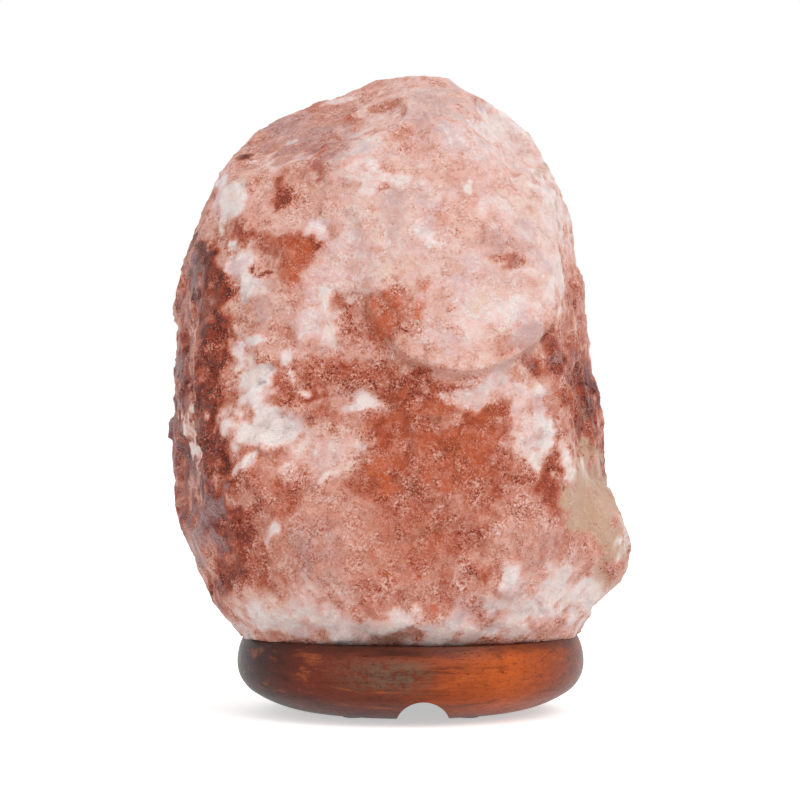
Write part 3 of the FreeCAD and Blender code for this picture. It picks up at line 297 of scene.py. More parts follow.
# fields, veins and pale lobes within the wide ones, and at 430, 383 a painted shadow under the front bulge's
# lower edge
MIDDLING_TONES = drawn(
    (415, 155, 38, 30, 0, 0.64), (465, 172, 40, 28, 0, 0.66), (395, 235, 60, 50, 0, 0.74),
    (345, 272, 50, 34, 0, 0.76), (250, 240, 30, 16, 0, 0.34), (292, 262, 15, 30, 8, 0.36),
    (460, 222, 24, 20, 0, 0.62), (380, 318, 42, 26, 0, 0.36), (425, 308, 12, 24, 0, 0.42),
    (508, 243, 32, 18, 0, 0.58), (540, 230, 30, 58, -12, 0.8), (480, 310, 52, 30, 0, 0.8),
    (490, 128, 36, 26, -10, 0.9), (365, 150, 24, 34, 8, 0.72), (290, 350, 60, 16, 0, 0.56),
    (345, 372, 55, 16, 0, 0.32), (280, 385, 26, 26, 0, 0.36), (268, 300, 26, 20, 0, 0.62),
    (322, 450, 34, 38, 0, 0.7), (285, 500, 20, 28, 0, 0.34), (345, 530, 40, 44, 0, 0.5),
    (262, 560, 20, 34, 0, 0.34), (470, 450, 44, 42, 0, 0.3), (455, 540, 60, 40, 0, 0.36),
    # painted shadow: the thin dark oval at 430, 383 lies under the lower edge of the front bulge
    (430, 383, 44, 7, -5, 0.26), (370, 485, 16, 22, -30, 0.34), (535, 610, 56, 18, 0, 0.82),
    (515, 540, 34, 26, 0, 0.52), (600, 500, 22, 60, -10, 0.56), (606, 590, 12, 20, 0, 0.7),
)
# small dark nests and streaks
DARK_TONES = drawn(
    (280, 196, 9, 17, 15, 0.2), (245, 161, 7, 7, 0, 0.08), (267, 272, 9, 5, 5, 0.08),
    (320, 160, 7, 10, 0, 0.2), (300, 238, 16, 9, 0, 0.26), (240, 228, 14, 8, 20, 0.26),
    (300, 392, 20, 8, 0, 0.24), (262, 376, 8, 12, 0, 0.24), (214, 520, 9, 30, 6, 0.1),
    (236, 470, 10, 14, 0, 0.22), (410, 400, 30, 14, 0, 0.26), (385, 430, 18, 14, 0, 0.26),
    (470, 415, 14, 12, 0, 0.24), (500, 470, 12, 24, 0, 0.3), (330, 415, 18, 12, 0, 0.34),
    (505, 257, 16, 2, 2, 0.35), (560, 262, 5, 20, -6, 0.3), (592, 395, 10, 40, -8, 0.1),
    (604, 455, 7, 26, -8, 0.16),
)
# frosted white crusts, crests and flecks
FROSTED_TONES = drawn(
    (226, 200, 11, 28, -20, 1), (245, 272, 10, 26, -18, 1), (312, 218, 15, 10, 10, 0.94),
    (378, 178, 36, 12, 4, 0.92), (368, 142, 16, 20, 0, 0.88), (340, 100, 16, 6, 20, 0.84),
    (346, 239, 18, 8, 10, 0.84), (327, 297, 5, 14, -10, 1), (318, 328, 20, 20, 0, 0.86),
    (246, 337, 15, 7, 0, 0.98), (254, 382, 12, 23, -8, 0.98), (232, 355, 7, 14, 0, 0.92),
    (262, 430, 38, 21, 14, 1.15), (241, 466, 8, 12, 20, 1), (325, 479, 12, 6, -20, 1),
    (355, 445, 9, 8, 0, 0.92), (357, 402, 15, 7, -5, 0.96), (302, 382, 10, 5, 35, 0.98),
    (286, 357, 7, 13, -25, 0.94), (497, 390, 44, 12, 0, 0.84), (525, 437, 16, 32, -5, 0.84),
    (547, 425, 8, 34, -3, 1.02), (540, 462, 9, 10, 0, 1), (495, 116, 26, 14, -10, 0.98),
    (545, 205, 16, 34, -15, 0.9), (470, 187, 5, 8, 10, 1), (428, 241, 9, 12, 0, 1),
    (526, 180, 9, 8, 0, 0.94), (552, 280, 10, 26, 0, 0.94), (275, 620, 28, 12, -4, 0.96),
    (345, 632, 50, 6, 0, 0.92), (395, 615, 20, 13, 0, 0.9), (455, 632, 50, 6, 0, 0.94),
    (540, 618, 50, 12, 0, 0.94), (512, 578, 10, 22, 30, 1), (560, 590, 18, 24, 0, 0.9),
    (598, 600, 10, 16, 30, 1), (270, 537, 6, 14, 0, 0.96), (622, 535, 4, 28, -5, 1),
    (572, 462, 9, 22, -15, 0.98), (192, 435, 3, 34, 0, 0.95), (297, 145, 4, 4, 30, 1),
    (285, 165, 44, 3, -4, 0.8), (505, 312, 20, 16, 0, 0.92), (452, 300, 14, 10, 0, 0.86),
)
TONES = [*WIDE_TONES, *MIDDLING_TONES, *DARK_TONES, *FROSTED_TONES]
# tints laid over the tones, by how strong they are
TINTS: Mapping[Zone, Sequence[Patch]] = {
    Zone.EMBER: drawn(
        (320, 160, 7, 10, 0, 1), (484, 196, 8, 7, 0, 1), (452, 218, 18, 14, 0, 0.35),
        (426, 306, 9, 18, 0, 1), (386, 318, 20, 20, 0, 0.75), (292, 268, 11, 28, 8, 0.6),
        (212, 300, 9, 40, -12, 0.5), (380, 474, 14, 18, -30, 1), (470, 450, 36, 46, 0, 0.55),
        (430, 606, 7, 6, 0, 1), (400, 545, 60, 40, 0, 0.4), (366, 435, 8, 14, 0, 0.6),
        (415, 440, 50, 40, 0, 0.5), (244, 450, 12, 30, 0, 0.3), (460, 170, 30, 20, 0, 0.25),
    ),
    # mauve-grey places in the salt; the ovals at 176, 350, 178, 450, 196, 550 and 186, 262 paint a pale sheen
    # along the left rim, where light grazes the edge
    Zone.MAUVE_AND_RIM_SHEEN: drawn(
        (176, 350, 9, 100, 0, 0.5), (178, 450, 8, 60, 0, 0.5), (196, 550, 14, 60, 20, 1),
        (310, 140, 70, 26, 18, 0.6), (440, 105, 36, 20, 0, 0.55), (395, 215, 30, 24, 0, 0.5),
        (340, 190, 40, 24, 0, 0.3), (530, 350, 30, 14, 0, 0.55), (495, 387, 40, 12, 0, 0.45),
        (500, 612, 60, 22, 0, 0.45), (320, 560, 30, 40, 0, 0.4), (186, 262, 7, 46, -25, 0.6),
        (510, 243, 28, 16, 0, 0.5), (540, 560, 40, 40, 0, 0.35), (270, 300, 26, 26, 0, 0.45),
        (556, 340, 14, 12, 0, 0.5),
    ),
    Zone.TAN: drawn(
        (597, 505, 26, 60, -10, 0.9), (545, 168, 5, 16, 28, 1), (610, 578, 14, 18, 0, 0.6),
    ),
}
# small ledges on the front, in millimetres, by how far they stand out
SHELVES: Sequence[Patch] = (
    Patch(33, 91, 17, 7, 0, 0.9),
    Patch(51, 78, 3, 14, -3, 1.2),
    Patch(-56, 76, 14, 8, 14, 1.1),
    Patch(-58, 94, 5, 9, -8, 0.9),
    Patch(-67, 162, 5, 13, -22, 0.8),
    Patch(-61, 136, 5, 11, -18, 0.8),
    Patch(-13, 173, 23, 6, 6, 0.9),
    Patch(-35, 115, 8, 8, 0, 0.7),
    Patch(38, 21, 5, 9, 30, 1.3),
    Patch(-32, 58, 5, 3, -20, 0.8),
    Patch(57, 16, 9, 11, 0, 1.0),
    Patch(49, 163, 9, 15, -15, 0.8),
    Patch(-11, 39, 34, 26, 10, 0.8),
)


# ----------------------------------------------------------------------------------- meshes
def place_mesh(name: str, points: np.ndarray, faces: Sequence[Sequence[int]]) -> bpy.types.Object:
    """Makes a smooth object at the origin from places in metres.

    Args:
        name: The piece's name.
        points: Places, three numbers to a row.
        faces: Corner numbers of each face, counterclockwise as seen from outside.

    Returns:
        The object, linked to the scene.
    """
    mesh = bpy.data.meshes.new(name)
    mesh.from_pydata(points.tolist(), [], faces)
    mesh.polygons.foreach_set("use_smooth", np.ones(len(mesh.polygons), dtype=bool))
    mesh.update()
    piece = bpy.data.objects.new(name, mesh)
    bpy.context.scene.collection.objects.link(piece)
    return piece


def tube_faces(rows: int, columns: int) -> np.ndarray:
    """Numbers the squares of a closed tube: each joins two neighbours of one row to the next row's.

    Args:
        rows: Rows of vertices along the tube.
        columns: Vertices round it.

    Returns:
        Four corner numbers to a row, for vertices numbered row by row.
    """
    here = np.arange(rows * columns).reshape(rows, columns)
    right = np.roll(here, -1, axis=1)
    squares = np.stack((here[:-1], right[:-1], right[1:], here[1:]), axis=-1)
    return squares.reshape(-1, 4)


def weigh(piece: bpy.types.Object, name: str, weights: np.ndarray) -> None:
    """Keeps one number for each vertex of a piece under a name that its material reads."""
    attribute = piece.data.attributes.new(name, "FLOAT", "POINT")
    attribute.data.foreach_set("value", weights.astype(np.float32))


def pointing(azimuth: float, rise: float) -> np.ndarray:
    """Gives the way of length one at an azimuth from the right towards the back and a rise, in degrees."""
    turn, lift = math.radians(azimuth), math.radians(rise)
    return np.array((math.cos(lift) * math.cos(turn), math.cos(lift) * math.sin(turn), math.sin(lift)))


# ----------------------------------------------------------------------------------- rock
@dataclass
class SaltCrystal:
    """The hewn block of rock salt, bored from below, as one closed skin.

    The block is a stack of level outlines, cut flat by its broken faces and small chips, with a rounded bulge
    on its front and a spur on its right. Its skin is found along rays from its heart, and breaks, ledges and
    grain are then moved in or out of it.

    Attributes:
        axis: Where the stand's axis is, to the right of the origin, in metres.
        foot: Height of the rock's foot above the table, in metres.
        height: Height of the block above its foot.
        bore_radius: Radius of the hole for the lamp holder.
        bore_top: Height of the hole's end above the foot.
        left, right, front, back: Reach of the widest outline from the axis.
        heart: Height of the heart, as a share of the block's.
        squareness: Power of the outlines, from 2 for an oval towards a box.
        columns, rows: Vertices round the skin, and from its foot to its crown.
        eye_distance, eye_height: Where the front's patches are seen from, before the axis and above the foot.
    """

    axis: float
    foot: float
    height: float
    bore_radius: float = 21.0
    bore_top: float = 103.0
    left: float = 90.8
    right: float = 75.0
    front: float = 72.0
    back: float = 71.0
    heart: float = 0.45
    squareness: float = 2.4
    columns: int = 430
    rows: int = 208
    eye_distance: float = 1050.0
    eye_height: float = 87.7

    # height of each outline, then its reach to the left, right, front and back, as shares
    OUTLINES = (
        (0.000, 0.660, 0.815, 0.700, 0.740),
        (0.022, 0.755, 0.870, 0.840, 0.860),
        (0.077, 0.820, 0.940, 0.925, 0.940),
        (0.150, 0.895, 0.980, 0.975, 0.980),
        (0.225, 0.965, 1.000, 1.000, 1.000),
        (0.330, 1.000, 0.990, 0.995, 1.000),
        (0.450, 0.998, 0.940, 0.975, 0.985),
        (0.570, 0.985, 0.875, 0.955, 0.950),
        (0.680, 0.928, 0.825, 0.910, 0.885),
        (0.780, 0.845, 0.772, 0.830, 0.785),
        (0.860, 0.740, 0.680, 0.720, 0.650),
        (0.925, 0.570, 0.530, 0.560, 0.480),
        (0.970, 0.325, 0.350, 0.340, 0.290),
        (1.000, 0.080, 0.140, 0.130, 0.110),
    )
    # how far up and down the outlines are averaged, so that they pass softly into one another
    OUTLINE_SPREAD = np.linspace(-0.025, 0.025, 7)
    # azimuth and rise of each flat face, and its distance from the heart as a share of the reach that way
    BROKEN_FACES = (
        (196, 0, 0.958),
        (345, 6, 0.875),
        (262, 3, 0.926),
        (231, 56, 0.953),
        (333, 40, 0.970),
        (96, 8, 0.940),
        (48, 4, 0.960),
        (140, 12, 0.930),
        (78, 46, 0.945),
    )
    # how rounded the edges between the flat faces are
    EDGE_SOFTNESS = 0.5
    # front chips: the outline's angle and height share of each one's middle, then its width and depth
    FRONT_CHIPS = (
        (203, 0.27, 17, 2.2), (204, 0.30, 16, 2.4), (206, 0.61, 15, 2.2), (219, 0.15, 13, 2.0),
        (226, 0.48, 15, 2.0), (234, 0.61, 16, 2.0), (237, 0.15, 19, 2.4), (237, 0.78, 17, 2.2),
        (244, 0.33, 16, 2.4), (252, 0.69, 15, 1.6), (255, 0.91, 15, 2.0), (261, 0.35, 20, 2.2),
        (261, 0.54, 15, 1.6), (267, 0.85, 15, 1.8), (271, 0.15, 25, 3.0), (286, 0.83, 17, 1.8),
        (288, 0.30, 19, 2.2), (297, 0.44, 17, 1.6), (302, 0.86, 15, 2.0), (308, 0.08, 17, 2.2),
        (308, 0.30, 15, 2.0),
    )
    # side and back chips: how many, and the least and the most of the same four numbers
    SIDE_CHIPS = (35, (-30, 0.08, 13.9, 1.4), (205, 0.92, 23.1, 3.0))
    # a chip's cut fades out from this share of its width to its whole width
    CHIP_FADE = 0.86
    # the ledge on the front: its middle from the foot and half sizes, right and up, and how far it stands out
    LEDGE = ((17.9, 131.2), (34.5, 34.1), 4.2)
    # middle of each swelling from the heart, and its half sizes: right, back and up
    BULGE = ((10.0, -35.5, 43.1), (44.0, 31.5, 39.5))
    SPUR = ((50.0, -17.8, -57.6), (31.1, 29.6, 29.1))
    # the search for the skin along a ray: a length past any of it, and how often the stretch is halved
    FARTHEST = 160.0
    HALVINGS = 24
    # the broken surface: wide swells, lumps, breaks and splinters
    SWELLS = Noise(1.5, 27.0, 3, 2)
    LUMPS = Noise(0.75, 9.0, 5, 3)
    BREAKS = Noise(1.0, 15.0, 7)
    SPLINTERS = Noise(0.5, 5.5, 11)
    # flutes on the left, so many times as high as wide, and where across and up they start and are whole
    FLUTES = Noise(0.75, 7.0, 17)
    FLUTE_STRETCH = 4.5
    FLUTED_ACROSS = (-54, -66)
    FLUTED_UP = (20, 34)
    # how much of its roughness the ledge loses, and how much relief the crown loses from and to which height
    LEDGE_CALM = 0.6
    CROWN_CALM = 0.75
    CROWN_HEIGHTS = (0.94, 1.0)
    # how rims wander: the chips' and the front ledge's, then the shelves' across and up
    JAGS = Noise(2.0, 8.0, 51, 2)
    SHELF_WANDER = Noise(2.4, 9.0, 61, 2)
    SHELF_DRIFT = Noise(2.4, 9.0, 62, 2)
    # how the painted patches wander across and up, and how their edges fray
    PATCH_WANDER = Noise(7.0, 15.0, 31, 5)
    PATCH_DRIFT = Noise(7.0, 15.0, 32, 5)
    PATCH_FRAY = Noise(0.9, 7.0, 33, 3)
    # a shelf's and a patch's rim: the shares of its reach where it starts and is whole
    SHELF_RIM = (1.06, 0.92)
    PATCH_RIM = (1.4, 0.5)
    # how far forwards the skin faces where the front's shelves and its patches start and are whole
    SHELF_FACING = (-0.10, 0.20)
    PATCH_FACING = (-0.30, 0.05)
    # the tone of the sides and back, which the photograph doesn't show: at the foot, and more at the crown
    SIDE_TONE = 0.44
    CROWN_TONE = 0.24
    CLOUDS = Noise(0.60, 52.0, 42, 5)
    # frost and dark veins there: their noise, from and to where in it they rise, and their tone
    FROST = (Noise(1.0, 30.0, 41, 5), 0.12, 0.40, 0.96)
    VEINS = (Noise(1.0, 36.0, 44, 5), 0.20, 0.52, 0.10)
    # tints there: spacing, first seed and octaves of their noise, their strength, and where each kind starts
    CHANCE_TINT = (46.0, 45, 5, 0.7)
    TINT_STARTS = {Zone.EMBER: 0.18, Zone.MAUVE_AND_RIM_SHEEN: 0.18, Zone.TAN: 0.30}
    TINT_SPAN = 0.3

    def outline_gap(self, points: np.ndarray) -> np.ndarray:
        """How far places stand out of the level outlines.

        Args:
            points: Places from the heart.

        Returns:
            The superellipse's size through each place less one, times the reach there; below 0 inside.
        """
        share = points[:, 2] / self.height + self.heart
        table = np.array(self.OUTLINES)
        reach = []
        for side, widest in enumerate((self.left, self.right, self.front, self.back), start=1):
            near = [np.interp(share + step, table[:, 0], table[:, side]) for step in self.OUTLINE_SPREAD]
            reach.append(widest * np.mean(near, axis=0))
        across = np.where(points[:, 0] < 0, reach[0], reach[1])
        along = np.where(points[:, 1] < 0, reach[2], reach[3])
        power = self.squareness
        size = (np.abs(points[:, 0] / across) ** power + np.abs(points[:, 1] / along) ** power) ** (1 / power)
        over_top = points[:, 2] - (1 - self.heart) * self.height
        return np.maximum((size - 1) * np.minimum(across, along), over_top)

    def plane_gap(self, points: np.ndarray, planes: np.ndarray) -> np.ndarray:
        """How far places stand out of a set of planes: the soft largest of their distances.

        Args:
            points: Places from the heart.
            planes: Each plane's way out and distance from the heart, four numbers to a row.

        Returns:
            The softness times the logarithm of the summed exponentials of distance over softness.
        """
        distances = (points @ planes[:, :3].T - planes[:, 3]) / self.EDGE_SOFTNESS
        highest = distances.max(axis=1)
        return self.EDGE_SOFTNESS * (highest + np.log(np.exp(distances - highest[:, None]).sum(axis=1)))

    def face_planes(self) -> np.ndarray:
        """Lays the broken faces as planes, each at its share of the egg round the heart.

        Returns:
            Each plane's way out and distance from the heart, four numbers to a row.
        """
        planes = []
        for azimuth, rise, share in self.BROKEN_FACES:
            way = pointing(azimuth, rise)
            reach = (
                self.right if way[0] > 0 else self.left,
                self.back if way[1] > 0 else self.front,
                self.height * (1 - self.heart if way[2] > 0 else self.heart),
            )
            planes.append((*way, share * float(np.linalg.norm(way * reach))))
        return np.array(planes)

    def swelling_gap(self, points: np.ndarray, swelling: Sequence[Sequence[float]]) -> np.ndarray:
        """How far places stand out of an ellipsoid: its size through them less one, times its middle size.

        Args:
            points: Places from the heart.
            swelling: The ellipsoid's middle from the heart, and its half sizes.

        Returns:
            Numbers below 0 inside and above 0 outside.
        """
        middle, half = swelling
        return (np.linalg.norm((points - middle) / half, axis=1) - 1) * float(np.median(half))

    def gap(self, points: np.ndarray) -> np.ndarray:
        """How far places stand out of the whole block: the cut block or a swelling, whichever is nearer.

        Args:
            points: Places from the heart.

        Returns:
            Numbers below 0 inside and above 0 outside.
        """
        cut = np.maximum(self.outline_gap(points), self.plane_gap(points, self.face_planes()))
        for swelling in (self.BULGE, self.SPUR):
            cut = np.minimum(cut, self.swelling_gap(points, swelling))
        return cut

    def cast(self, starts: np.ndarray, ways: np.ndarray) -> np.ndarray:
        """Finds how far the skin is along each ray, by halving the stretch that holds it.

        Args:
            starts: Where the rays start, inside the block.
            ways: Their ways, of length one.

        Returns:
            One distance a ray.
        """
        near, far = np.zeros(len(ways)), np.full(len(ways), self.FARTHEST)
        for _ in range(self.HALVINGS):
            middle = (near + far) / 2
            inside = self.gap(starts + ways * middle[:, None]) < 0
            near, far = np.where(inside, middle, near), np.where(inside, far, middle)
        return (near + far) / 2

    def all_chips(self) -> np.ndarray:
        """Lists the chips: those of the front, and the others spread one above another.

        Returns:
            Angle, height share, width and depth, four to a row. The steps of the golden ratio and of two
            roots, less whole numbers, choose how far a chip of the sides lies along each range.
        """
        count, least, most = self.SIDE_CHIPS
        number = np.arange(count)[:, None]
        golden = (math.sqrt(5) - 1) / 2
        steps = number * (golden, 1 / count, math.sqrt(2), math.sqrt(3)) + (0, 0.5 / count, 0, 0)
        spread = np.array(least) + (np.array(most) - least) * (steps % 1)
        return np.concatenate((np.array(self.FRONT_CHIPS), spread))

    def chip_middles(self, chips: np.ndarray) -> tuple[np.ndarray, np.ndarray]:
        """Finds each chip's middle on the skin, and the skin's way out there.

        Args:
            chips: Angle, height share, width and depth, four to a row.

        Returns:
            Places from the heart, and ways of length one: the gap's slope, by its change over short steps.
        """
        step_length = 4
        turns, shares = np.radians(chips[:, 0]), chips[:, 1]
        power = 2 / self.squareness
        across = np.sign(np.cos(turns)) * np.abs(np.cos(turns)) ** power
        along = np.sign(np.sin(turns)) * np.abs(np.sin(turns)) ** power
        across *= np.where(across > 0, self.right, self.left)
        along *= np.where(along > 0, self.back, self.front)
        ways = np.column_stack((across, along, np.zeros_like(across)))
        ways /= np.linalg.norm(ways, axis=1, keepdims=True)
        starts = np.column_stack((np.zeros((len(chips), 2)), (shares - self.heart) * self.height))
        middles = starts + ways * self.cast(starts, ways)[:, None]
        steps = np.eye(3) * step_length
        slopes = np.stack([self.gap(middles + step) - self.gap(middles - step) for step in steps], axis=1)
        return middles, slopes / np.linalg.norm(slopes, axis=1, keepdims=True)

    def chips(self, places: np.ndarray, jagged: np.ndarray) -> np.ndarray:
        """How deep the chips cut: each is a flat piece laid a little under the skin round its middle.

        Args:
            places: Places on the skin from the heart, three numbers to a row.
            jagged: How far each place's chips are moved, so that their edges wander.

        Returns:
            The deepest chip's depth there: its height over the chip's plane, faded out by the chip's width.
        """
        loss = np.zeros(len(places))
        chips = self.all_chips()
        for middle, slope, (_, _, width, depth) in zip(*self.chip_middles(chips), chips):
            away = places - middle
            over = np.clip(away @ slope + depth, 0, depth * 2)
            distance = np.linalg.norm(away, axis=1) + jagged
            loss = np.maximum(loss, over * ramp(distance, width, width * self.CHIP_FADE))
        return loss

    def on_ledge(self, places: np.ndarray, jagged: np.ndarray) -> np.ndarray:
        """Gives how much of the front's ledge covers each place: an oval, crisp below and soft above.

        Args:
            places: Places from the middle of the foot, three numbers to a row.
            jagged: How far the rim wanders there.

        Returns:
            From 0 off the ledge to 1 on it. The rim's reach and width grow with the softness.
        """
        (middle_x, middle_z), (half_x, half_z), _ = self.LEDGE
        rise = (places[:, 2] - middle_z) / half_z
        edge = np.hypot((places[:, 0] - middle_x) / half_x, rise) + jagged / 60
        soft = ramp(rise, -0.35, 0.35)
        reach = 1.05 + 0.3 * soft
        width = 0.09 + 0.8 * soft
        share = np.clip((reach - edge) / width, 0, 1)
        return np.where(places[:, 1] < 0, share * share * (3 - 2 * share), 0)

    def skin(self) -> tuple[np.ndarray, np.ndarray]:
        """Works out the outer skin, row by row from the foot to the crown.

        Returns:
            Places from the middle of the foot, as rows by columns by three, and the ways out of the skin.
        """
        highest = np.pi / 2 * 0.9985
        heart_height = self.heart * self.height
        turns = np.linspace(0, 2 * np.pi, self.columns, endpoint=False)
        level = np.column_stack((np.cos(turns), np.sin(turns), np.zeros_like(turns)))
        foot_reach = self.cast(np.tile((0.0, 0.0, -heart_height), (self.columns, 1)), level)
        lowest = -np.arctan2(heart_height, foot_reach)
        shares = np.linspace(0, 1, self.rows)[:, None]
        rise = lowest + (highest - lowest) * shares
        ways = np.stack((np.cos(rise) * np.cos(turns), np.cos(rise) * np.sin(turns), np.sin(rise)), axis=-1)
        flat = ways.reshape(-1, 3)
        distance = self.cast(np.zeros_like(flat), flat).reshape(self.rows, self.columns, 1)
        distance[0, :, 0] = np.hypot(foot_reach, heart_height)
        places = ways * distance + (0, 0, heart_height)
        return places, self.ways_out(places)

    def ways_out(self, places: np.ndarray) -> np.ndarray:
        """Finds the ways out of the skin: the cross product of its steps along a row and up a column.

        Args:
            places: Places as rows by columns by three.

        Returns:
            Ways of length one, in the same order.
        """
        shortest = 1e-9
        round_about = np.roll(places, -1, axis=1) - np.roll(places, 1, axis=1)
        upward = np.gradient(places, axis=0)
        out = np.cross(round_about, upward)
        return out / np.linalg.norm(out, axis=2, keepdims=True).clip(shortest)

    def seen_from_front(self, places: np.ndarray) -> tuple[np.ndarray, np.ndarray]:
        """Carries places along lines from a point in front of the rock onto the upright plane of its axis.

        Args:
            places: Places from the middle of the foot, three numbers to a row.

        Returns:
            How far to the right and how far up each lands.
        """
        spread = self.eye_distance / (self.eye_distance + places[:, 1])
        return places[:, 0] * spread, self.eye_height + (places[:, 2] - self.eye_height) * spread

    def relief(self, places: np.ndarray, front: np.ndarray, rough: np.ndarray) -> np.ndarray:
        """How far the broken surface stands out of the skin.

        Args:
            places: Places from the middle of the foot, three numbers to a row.
            front: How much of the front's own ledges each place takes, from 0 to 1.
            rough: How rough each place is, from 0 to 1.

        Returns:
            The sum of swells and lumps, broken facets, upright flutes on the left, and the front's shelves.
        """
        across, up = self.seen_from_front(places)
        wander = self.SHELF_WANDER.billow(places)
        drift = self.SHELF_DRIFT.billow(places)
        height = self.SWELLS.billow(places)
        height += rough * (self.LUMPS.billow(places) + self.BREAKS.facets(places + wander[:, None]))
        height += rough * self.SPLINTERS.facets(places + drift[:, None] * 0.4)
        flutes = self.FLUTES.facets(places / (1, 1, self.FLUTE_STRETCH))
        height += flutes * front * ramp(across, *self.FLUTED_ACROSS) * ramp(up, *self.FLUTED_UP)
        for shelf in SHELVES:
            edge = shelf.reach(across + wander, up + drift)
            height += front * shelf.level * ramp(edge, *self.SHELF_RIM)
        return height

    def tones_by_chance(self, places: np.ndarray) -> np.ndarray:
        """Works out the sides' and back's tone: clouds, paler towards the crown, with frost and dark veins.

        Args:
            places: Places from the middle of the foot, three numbers to a row.

        Returns:
            One tone a row.
        """
        crown = ramp(places[:, 2] / self.height, 0.35, 1.0)
        tone = self.SIDE_TONE + self.CROWN_TONE * crown + self.CLOUDS.billow(places)
        for noise, low, high, level in (self.FROST, self.VEINS):
            tone += (level - tone) * ramp(noise.billow(places), low, high)
        return tone

    def zones(self, places: np.ndarray, out: np.ndarray) -> dict[Zone, np.ndarray]:
        """Works out the tone and the tints over the skin.

        Args:
            places: Places from the middle of the foot, three numbers to a row.
            out: The smooth skin's way out there.

        Returns:
            The tone from 0, dark, to 1, white, and the strength of each tint. The front's patches are painted
            over one another with ragged edges, and the sides and back get tones and tints by chance.
        """
        across, up = self.seen_from_front(places)
        wander = self.PATCH_WANDER.billow(places)
        drift = self.PATCH_DRIFT.billow(places)
        frayed = self.PATCH_FRAY.billow(places)
        front = ramp(-out[:, 1], *self.PATCH_FACING)

        def cover(patch: Patch) -> np.ndarray:
            """Gives how much of a patch covers each place."""
            return ramp(patch.reach(across + wander, up + drift) + frayed, *self.PATCH_RIM)

        tone = np.full(len(places), 0.5)
        for patch in TONES:
            tone += (patch.level - tone) * cover(patch)
        weights = {Zone.TONE: np.clip(front * tone + (1 - front) * self.tones_by_chance(places), 0, 1.1)}
        size, first_seed, octaves, strength = self.CHANCE_TINT
        for seed, (zone, patches) in enumerate(TINTS.items(), start=first_seed):
            tint = np.max([patch.level * cover(patch) for patch in patches], axis=0)
            chance = Noise(1.0, size, seed, octaves).billow(places)
            start = self.TINT_STARTS[zone]
            by_chance = strength * ramp(chance, start, start + self.TINT_SPAN)
            weights[zone] = front * tint + (1 - front) * by_chance
        return weights

    def hollow(self, rim: np.ndarray) -> np.ndarray:
        """Works out the foot and the bore: rows that run in from the rim, up the wall and over to the axis.

        Args:
            rim: The skin's lowest row.

        Returns:
            Rows by columns by three, the first just inside the rim and the last near the axis.
        """
        turns = np.arctan2(rim[:, 1], rim[:, 0])
        wall = np.column_stack((np.cos(turns), np.sin(turns), np.zeros_like(turns))) * self.bore_radius
        inward = [rim + (wall - rim) * share for share in (0.05, 0.4, 0.8, 0.98, 1.0)]
        upward = [wall + (0, 0, self.bore_top * share) for share in (0.01, 0.3, 0.65, 0.97, 1.0)]
        over = [wall * (share, share, 1) + (0, 0, self.bore_top) for share in (0.9, 0.5, 0.02)]
        return np.stack(inward + upward + over)

    def broken_skin(self, places: np.ndarray, ways: np.ndarray) -> np.ndarray:
        """Moves the skin's places along their ways out by the ledge, the relief and the chips.

        Args:
            places: The smooth skin's places from the middle of the foot, three numbers to a row.
            ways: The ways out there.

        Returns:
            The moved places as rows by columns by three, the lowest row on the foot's own level.
        """
        front = ramp(-ways[:, 1], *self.SHELF_FACING)
        jagged = self.JAGS.billow(places)
        on_ledge = self.on_ledge(places, jagged)
        height = self.relief(places, front, 1 - self.LEDGE_CALM * on_ledge) + self.LEDGE[2] * on_ledge
        height -= self.chips(places - (0, 0, self.heart * self.height), jagged)
        height *= 1 - self.CROWN_CALM * ramp(places[:, 2] / self.height, *self.CROWN_HEIGHTS)
        raised = places + ways * height[:, None]
        rows = raised.reshape(self.rows, self.columns, 3)
        rows[:, :, 2] = np.maximum(rows[:, :, 2], 0.0)
        rows[0, :, 2] = 0.0
        return rows

    def closed_faces(self, count: int) -> list[list[int]]:
        """Numbers the faces of a closed sheet: its squares, and a fan of triangles at either end.

        Args:
            count: Rows of the sheet, whose vertices come before the two ends' own.

        Returns:
            The corner numbers of each face.
        """
        ring = np.arange(self.columns)
        beside = np.roll(ring, -1)
        ceiling = count * self.columns
        crown = ceiling + 1
        last = (count - 1) * self.columns
        return [
            *tube_faces(count, self.columns).tolist(),
            *np.stack((beside, ring, np.full_like(ring, ceiling)), axis=1).tolist(),
            *np.stack((last + ring, last + beside, np.full_like(ring, crown)), axis=1).tolist(),
        ]

    def build(self) -> bpy.types.Object:
        """Makes the rock and its weights.

        Returns:
            The piece, at the origin and in metres.
        """
        smooth, out = self.skin()
        places, ways = smooth.reshape(-1, 3), out.reshape(-1, 3)
        rows = self.broken_skin(places, ways)
        hollow = self.hollow(rows[0])
        sheet = np.concatenate((hollow[::-1], rows))
        ends = np.stack(((0.0, 0.0, self.bore_top), sheet[-1].mean(axis=0)))
        corners = np.concatenate((sheet.reshape(-1, 3), ends))
        piece = place_mesh("rock", corners * MM + (self.axis, 0, self.foot), self.closed_faces(len(sheet)))
        skin_start = hollow.shape[0] * self.columns
        for zone, weights in self.zones(places, ways).items():
            whole = np.zeros(len(corners))
            whole[skin_start : skin_start + len(weights)] = weights
            weigh(piece, zone.value, whole)
        return piece


